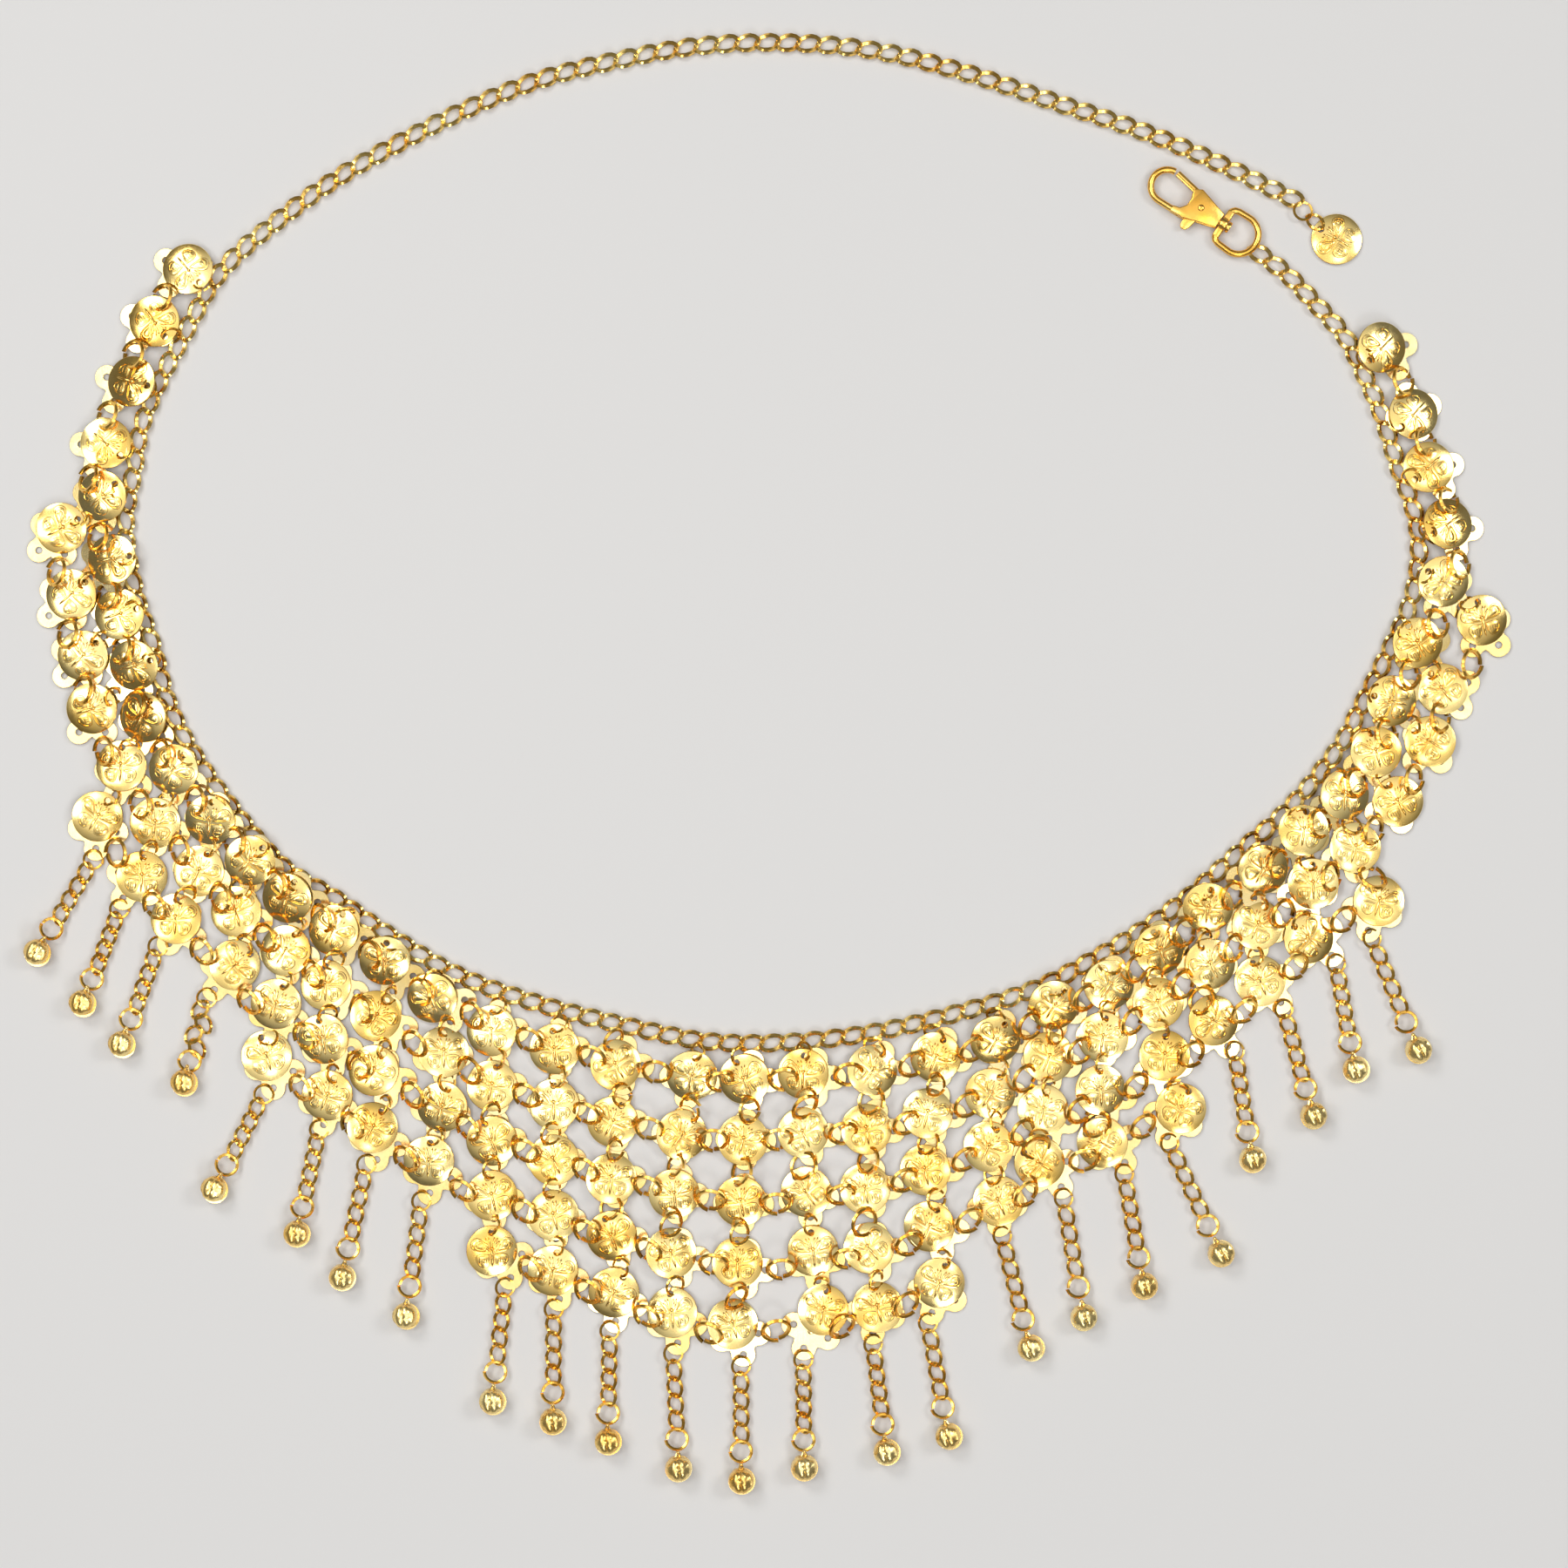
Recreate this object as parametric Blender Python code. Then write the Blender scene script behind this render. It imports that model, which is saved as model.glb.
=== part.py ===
# Tassel waist chain, laid flat: a curb chain with a swivel hook at one end and
# a coin at the other, and forty strands of coins on four-lobed plates, the
# longer ones ending in a short chain and a bell. Lengths are in millimetres
# and become metres when a mesh is made.
import math
from collections import namedtuple

import bmesh
import bpy
import numpy as np
from mathutils import Vector

# Driving dimensions
MM = 0.001
PIXEL = 0.26              # real size of one photo pixel, with a coin taken as 15 mm
MIDDLE = (883.55, 875.61) # photo pixel at the middle of the outline
CLEAR = 0.3               # gap kept between two pieces

COIN_RADIUS = 7.7         # corner radius of the eight-sided coin, as large as the round one
COIN_THICK = 1.6          # coin lying on its plate
PLATE_SHIFT = 2.0         # the plate hangs this much lower than its coin
LOBE_TIP = 9.2            # plate centre to the end of a lobe
LOBE_WIDTH = 4.8
LOBE_THICK = 0.9
HANGER_WIDTH = 3.0        # a first coin's top lobe and ring

CHAIN_LINKS = 176
CHAIN_STRETCHES = 16
CHAIN_WIDTH = 5.6
NECK_WIDTH = 3.8
EYE_WIDTH = 2.6
EYE_LENGTH = 3.4
CHAIN_THICK = 1.8

DROP_LINKS = 6            # one jump ring, four links and the bell's ring
DROP_LINK_WIDTH = 5.0
DROP_WAIST = 1.8
BELL_RADIUS = 4.35
BELL_LENGTH = 7.9
BELL_CUTS = ((-0.36, 0.74), (0.02, 1.0), (0.5, 0.55))  # share of its length, share of its radius

# The end coin's link and ring: share of the way to the chain, width
END_CUTS = ((0.1, 1.8), (0.3, 4.0), (0.45, 1.8), (0.75, 6.2), (1.0, 2.0))

HOOK_CENTRE = (1421, 270)   # photo pixel at the middle of the swivel ring
HOOK_TURN = 146.0           # degrees, the way the hook's nose points
HOOK_HEIGHT = 2.1           # height of the swivel's axis
RING_RADIUS = 6.9
RING_BAND = 2.0
RING_BAR = 6.5              # outer face of the ring's straight bar
POST_RADIUS = 1.1
HOOK_WIRE = 1.1
NOSE_RADIUS = 4.9
NOSE_AT = 25.6
PIN_AT = 13.7
PIN_RADIUS = 0.8
HOUSING_HALF = 1.9
SLOT_HALF = 1.0
SMOOTH_ANGLE = 38.0         # degrees, sharper edges of the clasp stay sharp

# The chain's middle line as photo pixels, from the hook clockwise to the end coin.
CHAIN_ROUTE = [
    (1443, 290), (1477, 316), (1511, 351), (1543, 387), (1563, 426), (1584, 473),
    (1604, 536), (1622, 586), (1628, 635), (1619, 690), (1595, 745), (1565, 805),
    (1535, 860), (1482, 925), (1426, 975), (1354, 1037), (1279, 1087), (1192, 1133),
    (1101, 1162), (1001, 1185), (906, 1196), (812, 1195), (714, 1176), (619, 1152),
    (526, 1119), (442, 1070), (385, 1031), (324, 993), (264, 924), (221, 862),
    (194, 807), (176, 741), (156, 680), (145, 605), (155, 537), (163, 490),
    (184, 438), (215, 379), (245, 325), (277, 289), (331, 245), (388, 205),
    (449, 170), (532, 128), (615, 94), (700, 72), (800, 54), (905, 50),
    (1010, 60), (1110, 85), (1210, 118), (1312, 152), (1398, 188), (1483, 229)]
END_COIN = (1534, 275)

# One row for each strand, in photo pixels: its number of coins, its first and
# last coin, how far the coins between bow to the right, the top of its drop
# and its bell. The strands at the sides have no drop.
Strand = namedtuple("Strand", "coins first last bow hang bell", defaults=(0, None, None))
STRANDS = [
    Strand(1, (217, 310), (217, 310)),
    Strand(1, (179, 370), (179, 370)),
    Strand(1, (153, 439), (153, 439)),
    Strand(1, (123, 513), (123, 513)),
    Strand(2, (119, 569), (72, 606)),
    Strand(2, (131, 643), (83, 683)),
    Strand(2, (139, 706), (102, 754)),
    Strand(2, (153, 764), (110, 814)),
    Strand(3, (164, 822), (113, 937), 7, (107, 990), (45, 1092)),
    Strand(3, (198, 883), (164, 1006), -2, (138, 1043), (97, 1150)),
    Strand(3, (241, 949), (205, 1050), 7, (182, 1086), (142, 1197)),
    Strand(3, (287, 990), (276, 1105), -9, (232, 1152), (213, 1241)),
    Strand(4, (330, 1032), (307, 1211), 6, (303, 1256), (248, 1363)),
    Strand(4, (383, 1068), (382, 1254), -12, (367, 1296), (342, 1414)),
    Strand(4, (443, 1102), (428, 1294), -7, (421, 1336), (394, 1464)),
    Strand(4, (497, 1145), (493, 1332), 16, (484, 1378), (467, 1508)),
    Strand(5, (565, 1183), (565, 1435), 0, (580, 1477), (566, 1606)),
    Strand(5, (637, 1204), (635, 1458), 0, (636, 1502), (635, 1629)),
    Strand(5, (707, 1222), (705, 1483), -4, (700, 1527), (698, 1652)),
    Strand(5, (796, 1234), (772, 1506), -10, (773, 1553), (779, 1683)),
    Strand(5, (854, 1238), (841, 1519), 3, (850, 1570), (851, 1697)),
    Strand(5, (922, 1232), (945, 1503), -8, (922, 1560), (923, 1682)),
    Strand(5, (1001, 1228), (1007, 1500), -11, (1002, 1542), (1017, 1664)),
    Strand(5, (1074, 1213), (1078, 1472), -14, (1065, 1518), (1088, 1646)),
    Strand(4, (1142, 1193), (1146, 1378), -8, (1150, 1418), (1182, 1545)),
    Strand(4, (1208, 1163), (1192, 1327), 0, (1221, 1378), (1243, 1510)),
    Strand(4, (1274, 1132), (1265, 1310), -6, (1290, 1347), (1312, 1474)),
    Strand(4, (1331, 1090), (1355, 1272), -12, (1342, 1312), (1400, 1437)),
    Strand(3, (1396, 1045), (1392, 1171), -1, (1417, 1206), (1436, 1329)),
    Strand(3, (1450, 998), (1443, 1125), -2, (1473, 1158), (1506, 1279)),
    Strand(3, (1495, 953), (1495, 1075), 11, (1533, 1106), (1554, 1226)),
    Strand(3, (1542, 912), (1582, 1034), -7, (1574, 1077), (1626, 1204)),
    Strand(2, (1578, 863), (1604, 920)),
    Strand(2, (1598, 804), (1641, 851)),
    Strand(2, (1627, 741), (1653, 790)),
    Strand(2, (1655, 668), (1700, 712)),
    Strand(1, (1660, 602), (1660, 602)),
    Strand(1, (1638, 537), (1638, 537)),
    Strand(1, (1621, 476), (1621, 476)),
    Strand(1, (1584, 400), (1584, 400))]


def place(pixel):
    return np.array([(pixel[0] - MIDDLE[0]) * PIXEL, (MIDDLE[1] - pixel[1]) * PIXEL])


def unit(vector):
    return vector / np.linalg.norm(vector)


def left_of(direction):
    return np.array([-direction[1], direction[0]])


def smooth_route(pixels, steps=12):
    """A smooth curve through the pixels, as closely spaced points."""
    knots = [place(pixel) for pixel in pixels]
    knots = [2 * knots[0] - knots[1]] + knots + [2 * knots[-1] - knots[-2]]
    curve = []
    for a, b, c, d in zip(knots, knots[1:], knots[2:], knots[3:]):
        for t in np.arange(steps) / steps:
            curve.append(0.5 * (2 * b + (c - a) * t + (2 * a - 5 * b + 4 * c - d) * t ** 2
                                + (3 * b - a - 3 * c + d) * t ** 3))
    return np.array(curve + [knots[-2]])


class Route:
    """The chain's middle line, read by the distance along it."""

    def __init__(self, pixels):
        self.points = smooth_route(pixels)
        steps = np.linalg.norm(np.diff(self.points, axis=0), axis=1)
        self.along = np.concatenate([[0.0], np.cumsum(steps)])
        self.length = self.along[-1]
        sides = np.array([left_of(unit(step)) for step in np.gradient(self.points, axis=0)])
        half = sides * CHAIN_WIDTH / 2
        self.edges = np.concatenate([self.points + half, self.points - half])

    def point(self, distance):
        return np.array([np.interp(distance, self.along, self.points[:, axis]) for axis in (0, 1)])

    def direction(self, distance):
        near, far = max(distance - 2, 0), min(distance + 2, self.length)
        return unit(self.point(far) - self.point(near))

    def nearest(self, point):
        return self.points[np.argmin(np.linalg.norm(self.points - point, axis=1))]


def coin_centres(strand):
    first, last = place(strand.first), place(strand.last)
    bow = np.array([strand.bow * PIXEL, 0.0])
    shares = np.linspace(0, 1, strand.coins) if strand.coins > 1 else [0.0]
    return [first + (last - first) * share + bow * 4 * share * (1 - share) for share in shares]


def settle(coins, rounds=120):
    """Push crowded coins apart until none lies over another."""
    apart = 2 * COIN_RADIUS + CLEAR + 0.05
    for _ in range(rounds):
        for index in range(len(coins)):
            away = coins[index] - np.delete(coins, index, axis=0)
            gaps = np.linalg.norm(away, axis=1)
            close = gaps < apart
            push = (away[close] / gaps[close, None] * (apart - gaps[close, None]) / 2).sum(axis=0)
            coins[index] += push
    return coins


def settled_strands():
    groups = [coin_centres(strand) for strand in STRANDS]
    coins = settle(np.array([centre for group in groups for centre in group]))
    ends = np.cumsum([len(group) for group in groups])
    return np.split(coins, ends[:-1])


class Shell:
    """Points and faces of one closed solid."""

    def __init__(self):
        self.points = []
        self.faces = []

    def ring(self, flat_points, heights):
        start = len(self.points)
        self.points += [(x, y, z) for (x, y), z in zip(flat_points, heights)]
        return list(range(start, len(self.points)))

    def band(self, near, far):
        for i in range(len(near)):
            j = (i + 1) % len(near)
            self.faces.append((near[i], near[j], far[j], far[i]))

    def cap(self, ring):
        self.faces.append(tuple(ring))


def make_empty(name, location=(0.0, 0.0, 0.0), turn=0.0, parent=None):
    empty = bpy.data.objects.new(name, None)
    empty.location = Vector(location) * MM
    empty.rotation_euler = (0, 0, math.radians(turn))
    empty.parent = parent
    bpy.context.scene.collection.objects.link(empty)
    return empty


def make_object(name, shell, material, origin=(0.0, 0.0), parent=None):
    """An object whose own origin is at a place on the floor."""
    start = Vector((*origin, 0))
    mesh = bpy.data.meshes.new(name)
    mesh.from_pydata([(Vector(point) - start) * MM for point in shell.points], [], shell.faces)
    bm = bmesh.new()
    bm.from_mesh(mesh)
    bmesh.ops.recalc_face_normals(bm, faces=bm.faces)
    bm.to_mesh(mesh)
    bm.free()
    mesh.materials.append(material)
    obj = bpy.data.objects.new(name, mesh)
    obj.location = start * MM
    obj.parent = parent
    bpy.context.scene.collection.objects.link(obj)
    return obj


def make_material(name, colour, roughness):
    material = bpy.data.materials.new(name)
    material.use_nodes = True
    shader = material.node_tree.nodes["Principled BSDF"]
    shader.inputs["Base Color"].default_value = (*colour, 1)
    shader.inputs["Roughness"].default_value = roughness
    shader.inputs["Metallic"].default_value = 1.0
    material.diffuse_color = (*colour, 1)
    return material


def cross_section(shell, middle, along, width, low, high):
    """Four corners of a strand's cut, seen from its free end."""
    side = left_of(along) * width / 2
    return shell.ring([middle - side, middle + side, middle + side, middle - side],
                      [low, low, high, high])


class Lie:
    """How a coin lies: flat on the floor, or leaning on the chain beneath it."""

    def __init__(self, centre, route):
        self.centre, self.slope, self.on_chain = centre, 0.0, False
        self.uphill = unit(route.nearest(centre) - centre)
        under = [edge for edge in route.edges if np.linalg.norm(edge - centre) < COIN_RADIUS + CLEAR]
        if under:
            crest = min(np.dot(edge - centre, self.uphill) for edge in under)
            self.slope = (CHAIN_THICK + CLEAR) / (crest - CLEAR + COIN_RADIUS)
            self.on_chain = True

    def height(self, point):
        climb = np.dot(point - self.centre, self.uphill) + COIN_RADIUS
        return max(0.0, self.slope * climb)


def coin_rings(shell, centre, forward, lie=None):
    side = left_of(forward)
    corners = []
    for index in range(8):
        angle = math.radians(45 * index - 22.5)
        corners.append(centre + COIN_RADIUS * (math.cos(angle) * forward + math.sin(angle) * side))
    low = [lie.height(corner) if lie else 0.0 for corner in corners]
    return shell.ring(corners, low), shell.ring(corners, [height + COIN_THICK for height in low])


def side_loop(rings, index):
    low, high = rings
    return [low[index], low[(index + 1) % 8], high[(index + 1) % 8], high[index]]


def keeps_own_ground(points, centre, others):
    """True where every point is nearer to its own coin than to another strand's."""
    for other in others:
        towards = unit(other - centre)
        limit = np.linalg.norm(other - centre) / 2 - CLEAR / 2
        if any(np.dot(point - centre, towards) > limit for point in points):
            return False
    return True


def clears_chain(point, lie, route):
    beside = np.linalg.norm(route.nearest(point) - point) > CHAIN_WIDTH / 2 + CLEAR + 0.1
    return beside or lie.height(point) >= CHAIN_THICK + CLEAR


def lobe_tip(plan, index, outward):
    """The longest lobe end, up to the plate's own, that clears its neighbours."""
    centre, lie = plan.centres[index], plan.lies[index]
    side = left_of(outward) * LOBE_WIDTH / 2
    for reach in np.arange(LOBE_TIP, COIN_RADIUS, -0.1):
        middle = centre + plan.axes[index] * PLATE_SHIFT + outward * reach
        tip = [middle - side, middle + side]
        clear = all(clears_chain(point, lie, plan.route) for point in tip)
        if clear and keeps_own_ground(tip, centre, plan.others):
            return tip
    return None


def add_lobe(shell, loop, tip, lie):
    if tip is None:
        shell.cap(loop)
        return
    low = [lie.height(point) for point in tip]
    end = shell.ring([tip[0], tip[1], tip[1], tip[0]],
                     [low[0], low[1], low[1] + LOBE_THICK, low[0] + LOBE_THICK])
    shell.band(loop, end)
    shell.cap(end)


def add_hanger(shell, loop, centre, route):
    """The top lobe and its ring, which reach to just short of the chain."""
    anchor = route.nearest(centre)
    outward = unit(anchor - centre)
    end_at = np.linalg.norm(anchor - centre) - CHAIN_WIDTH / 2 - CLEAR
    end = cross_section(shell, centre + outward * end_at, outward, HANGER_WIDTH, 0, LOBE_THICK)
    shell.band(loop, end)
    shell.cap(end)


def add_bell(shell, near, centre, along):
    """An eight-sided bell after the last cut of its drop."""
    side = left_of(along)
    height = BELL_RADIUS * math.cos(math.radians(22.5))
    rings = []
    for share, radius in BELL_CUTS:
        points, heights = [], []
        for index in range(8):
            angle = math.radians(45 * index - 157.5)
            points.append(centre + along * BELL_LENGTH * share
                          + side * BELL_RADIUS * radius * math.cos(angle))
            heights.append(height + BELL_RADIUS * radius * math.sin(angle))
        rings.append(shell.ring(points, heights))
    first = rings[0]
    for i in range(4):
        shell.faces.append((near[i], first[2 * i + 1], first[2 * i]))
        shell.faces.append((near[i], near[(i + 1) % 4], first[(2 * i + 2) % 8], first[2 * i + 1]))
    shell.band(first, rings[1])
    shell.band(rings[1], rings[2])
    shell.cap(rings[2])


def add_drop(shell, loop, centre, hang, bell):
    """A plate's lower lobe, its jump ring, the short chain and the bell."""
    down, along = unit(hang - centre), unit(bell - hang)
    lobe_end = cross_section(shell, hang - down * 1.2, down, LOBE_WIDTH, 0, LOBE_THICK)
    shell.band(loop, lobe_end)
    pitch = (np.linalg.norm(bell - hang) - BELL_LENGTH / 2 - 0.9) / DROP_LINKS
    cuts = [(0, DROP_WAIST, 0.2, 1.4)]
    for index in range(DROP_LINKS):
        rise = 2.6 if index == DROP_LINKS - 1 else 0.0
        lift = 1.6 if index == DROP_LINKS - 1 else 0.0
        cuts.append((pitch * (index + 0.5), DROP_LINK_WIDTH, lift / 2, 2.0 + lift))
        cuts.append((pitch * (index + 1), DROP_WAIST, 0.4 + rise, 1.8 + rise))
    near = lobe_end
    for distance, width, low, high in cuts:
        far = cross_section(shell, hang + along * distance, along, width, low, high)
        shell.band(near, far)
        near = far
    add_bell(shell, near, bell, along)


def nearest_side(forward, target):
    """Which of the coin's four lobe sides faces the target best."""
    angle = math.degrees(math.atan2(np.dot(left_of(forward), target), np.dot(forward, target)))
    return 2 * (round(angle / 90) % 4)


class StrandPlan:
    """Where the coins, plates and drop of one strand lie."""

    def __init__(self, strand, centres, others, route):
        self.centres, self.others, self.route = centres, others, route
        self.hang = place(strand.hang) if strand.hang else None
        self.bell = place(strand.bell) if strand.bell else None
        self.anchor = route.nearest(centres[0])
        self.axes = [self.axis(index) for index in range(len(centres))]
        self.lies = [Lie(centre, route) for centre in centres]

    def axis(self, index):
        """The way a plate hangs: from the coin before it to the one after it."""
        before = self.centres[max(index - 1, 0)]
        if index + 1 < len(self.centres):
            return unit(self.centres[index + 1] - before)
        if self.hang is not None:
            return unit(self.hang - before)
        return unit(self.centres[index] - (before if index else self.anchor))

    def outward(self, index, side):
        """The way the lobe on a side points; the sides between lobes have none."""
        axis = self.axes[index]
        return {0: axis, 2: left_of(axis), 4: -axis, 6: -left_of(axis)}.get(side)

    def hanger_side(self):
        """The side where the first coin's ring leaves for the chain."""
        if self.lies[0].on_chain:
            return None
        return nearest_side(self.axes[0], self.anchor - self.centres[0])


def close_side(shell, plan, rings, index, side):
    """End one side of a coin in its ring, a lobe, the next coin, the drop or a wall."""
    loop, outward = side_loop(rings[index], side), plan.outward(index, side)
    centre, is_last = plan.centres[index], index == len(plan.centres) - 1
    if index == 0 and side == plan.hanger_side():
        add_hanger(shell, loop, centre, plan.route)
    elif outward is None or (side == 4 and index == 0):
        shell.cap(loop)
    elif side == 0 and not is_last:
        ahead = side_loop(rings[index + 1], 4)
        shell.band(loop, [ahead[1], ahead[0], ahead[3], ahead[2]])
    elif side == 0 and plan.hang is not None:
        add_drop(shell, loop, centre, plan.hang, plan.bell)
    elif side != 4:
        add_lobe(shell, loop, lobe_tip(plan, index, outward), plan.lies[index])


def build_strand(number, plan, material, parent):
    shell = Shell()
    rings = [coin_rings(shell, *one) for one in zip(plan.centres, plan.axes, plan.lies)]
    for index, pair in enumerate(rings):
        add_pair(shell, *pair)
        for side in range(8):
            close_side(shell, plan, rings, index, side)
    return make_object(f"strand_{number:02d}", shell, material, plan.centres[0], parent)


def chain_cut(shell, route, distance, offsets):
    """Points across the chain at one distance, low ones then high ones."""
    middle, side = route.point(distance), left_of(route.direction(distance))
    points = [middle + side * offset for offset in offsets]
    return shell.ring(points, [0] * len(points)), shell.ring(points, [CHAIN_THICK] * len(points))


def add_pair(shell, low, high):
    shell.cap(low[::-1])
    shell.cap(high)


def add_wall(shell, cut_a, cut_b):
    (low_a, high_a), (low_b, high_b) = cut_a, cut_b
    shell.faces.append((low_a, low_b, high_b, high_a))


def edge(cut, index):
    """The low and the high point at one place in a cut."""
    return cut[0][index], cut[1][index]


def stretch_cuts(shell, route, first, last):
    """The cuts at the links' necks, and at each link's belly and eye."""
    pitch = route.length / CHAIN_LINKS
    half, neck, eye = CHAIN_WIDTH / 2, NECK_WIDTH / 2, EYE_WIDTH / 2
    necks, bellies = [], []
    for index in range(first, last + 1):
        inset = {first: CLEAR / 2, last: -CLEAR / 2}.get(index, 0)
        necks.append(chain_cut(shell, route, index * pitch + inset, (neck, -neck)))
    for index in range(first, last):
        middle = (index + 0.5) * pitch
        bellies.append((chain_cut(shell, route, middle, (half, eye, -eye, -half)),
                        chain_cut(shell, route, middle - EYE_LENGTH / 2, (0,)),
                        chain_cut(shell, route, middle + EYE_LENGTH / 2, (0,))))
    return necks, bellies


def add_link(shell, near, far, belly, start, end):
    """One link between two necks: its flat faces, outer walls and eye."""
    for level in (0, 1):
        near_left, near_right = near[level]
        far_left, far_right = far[level]
        left, eye_left, eye_right, right = belly[level]
        tail, tip = start[level][0], end[level][0]
        flats = [(near_left, tail, eye_left, left), (left, eye_left, tip, far_left),
                 (near_right, right, eye_right, tail), (right, far_right, tip, eye_right),
                 (near_left, near_right, tail), (far_left, tip, far_right)]
        shell.faces += [face if level else face[::-1] for face in flats]
    left_walls = [edge(near, 0), edge(belly, 0), edge(far, 0)]
    right_walls = [edge(far, 1), edge(belly, 3), edge(near, 1)]
    eye_walls = [edge(start, 0), edge(belly, 2), edge(end, 0), edge(belly, 1), edge(start, 0)]
    for walls in (left_walls, right_walls, eye_walls):
        for one, following in zip(walls, walls[1:]):
            add_wall(shell, one, following)


def build_stretch(number, route, first, last, material, parent):
    """A run of curb links as one strip, with each link's belly and its eye."""
    shell = Shell()
    necks, bellies = stretch_cuts(shell, route, first, last)
    for near, far, (belly, start, end) in zip(necks, necks[1:], bellies):
        add_link(shell, near, far, belly, start, end)
    for cut in (necks[0], necks[-1]):
        add_wall(shell, edge(cut, 0), edge(cut, 1))
    middle = route.point((first + last) / 2 * route.length / CHAIN_LINKS)
    return make_object(f"waist_chain_{number:02d}", shell, material, middle, parent)


def build_end_coin(route, material, parent):
    """The coin that finishes the chain, with its small link and jump ring."""
    shell = Shell()
    centre, tail = place(END_COIN), route.point(route.length)
    forward = unit(centre - tail)
    rings = coin_rings(shell, centre, forward)
    add_pair(shell, *rings)
    for side in range(8):
        if side != 4:
            shell.cap(side_loop(rings, side))
    near = side_loop(rings, 4)
    reach = np.linalg.norm(centre - tail) - CLEAR - 0.1
    for share, width in END_CUTS:
        distance = COIN_RADIUS + (reach - COIN_RADIUS) * share
        far = cross_section(shell, centre - forward * distance, -forward, width, 0, COIN_THICK)
        shell.band(near, far)
        near = far
    shell.cap(near)
    return make_object("end_coin", shell, material, centre, parent)


def prism(name, outline, low, high, material):
    shell = Shell()
    bottom = shell.ring(outline, [low] * len(outline))
    top = shell.ring(outline, [high] * len(outline))
    shell.cap(bottom[::-1])
    shell.cap(top)
    shell.band(bottom, top)
    return make_object(name, shell, material)


def rod(name, start, end, radius, material, sides=12):
    """A straight round rod between two points of the hook's own frame."""
    axis = Vector(end) - Vector(start)
    across = axis.orthogonal().normalized()
    if abs(axis.z) < 1e-6:
        across = Vector((0, 0, 1))
    other = axis.normalized().cross(across)
    shell, loops = Shell(), []
    for middle in (Vector(start), Vector(end)):
        turns = [math.radians(360 * (i + 0.5) / sides) for i in range(sides)]
        points = [middle + across * radius * math.cos(a) + other * radius * math.sin(a)
                  for a in turns]
        loops.append(shell.ring([(p.x, p.y) for p in points], [p.z for p in points]))
    shell.cap(loops[0][::-1])
    shell.cap(loops[1])
    shell.band(loops[0], loops[1])
    return make_object(name, shell, material)


def bent_wire(name, path, radius, material, sides=8):
    """A round wire along a flat path."""
    shell, near = Shell(), None
    path = [np.array(point, dtype=float) for point in path]
    for index, middle in enumerate(path):
        before, after = path[max(index - 1, 0)], path[min(index + 1, len(path) - 1)]
        side = left_of(unit(after - before))
        turns = [math.radians(360 * (i + 0.5) / sides) for i in range(sides)]
        ring = shell.ring([middle - side * radius * math.cos(a) for a in turns],
                          [radius * math.sin(a) for a in turns])
        if near is None:
            shell.cap(ring)
        else:
            shell.band(ring, near)
        near = ring
    shell.cap(near[::-1])
    return make_object(name, shell, material)


def combine(target, tool, operation):
    """Join a piece to the target, or cut it out of it, and drop the piece."""
    modifier = target.modifiers.new("combine", "BOOLEAN")
    modifier.operation = operation
    modifier.solver = "EXACT"
    modifier.object = tool
    bpy.context.view_layer.objects.active = target
    bpy.ops.object.modifier_apply(modifier=modifier.name)
    bpy.data.objects.remove(tool, do_unlink=True)
    return target


def smooth_round_sides(obj):
    bpy.ops.object.select_all(action="DESELECT")
    obj.select_set(True)
    bpy.context.view_layer.objects.active = obj
    bpy.ops.object.shade_smooth_by_angle(angle=math.radians(SMOOTH_ANGLE))


def put(obj, name, clasp, origin=(0.0, 0.0)):
    """Name a clasp piece and hang it on the clasp, its origin on its own joint's axis."""
    obj.name = name
    obj.data.name = name
    start = Vector((*origin, 0)) * MM
    for vertex in obj.data.vertices:
        vertex.co -= start
    obj.parent = clasp
    obj.location = start
    smooth_round_sides(obj)
    return obj


def arc(radius, first, last, steps, centre=(0.0, 0.0)):
    angles = np.radians(np.linspace(first, last, steps + 1))
    return [(centre[0] + radius * math.cos(a), centre[1] + radius * math.sin(a)) for a in angles]


def build_swivel_ring(material, clasp):
    """The D-shaped ring: a band bent round a straight bar with a bored boss."""
    inner, bar_in = RING_RADIUS - RING_BAND, RING_BAR - RING_BAND
    outside = [(RING_BAR, 5.4), (RING_BAR - 0.9, 6.5)] + arc(RING_RADIUS, 72, 288, 14)
    outside += [(RING_BAR - 0.9, -6.5), (RING_BAR, -5.4)]
    inside = [(bar_in, 3.8), (bar_in - 0.8, 4.5)] + arc(inner, 72, 288, 14)
    inside += [(bar_in - 0.8, -4.5), (bar_in, -3.8)]
    shell = Shell()
    loops = [shell.ring(outline, [height] * len(outline))
             for outline, height in ((outside, -1), (outside, 1), (inside, 1), (inside, -1))]
    for near, far in zip(loops, loops[1:] + loops[:1]):
        shell.band(near, far)
    ring = make_object("swivel_ring", shell, material)
    boss = rod("boss", (bar_in, 0, 0), (RING_BAR, 0, 0), HOOK_HEIGHT, material)
    bore = rod("bore", (bar_in - 1, 0, 0), (RING_BAR + 1, 0, 0), POST_RADIUS + CLEAR, material)
    combine(ring, boss, "UNION")
    combine(ring, bore, "DIFFERENCE")
    return put(ring, "swivel_ring", clasp)


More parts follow.
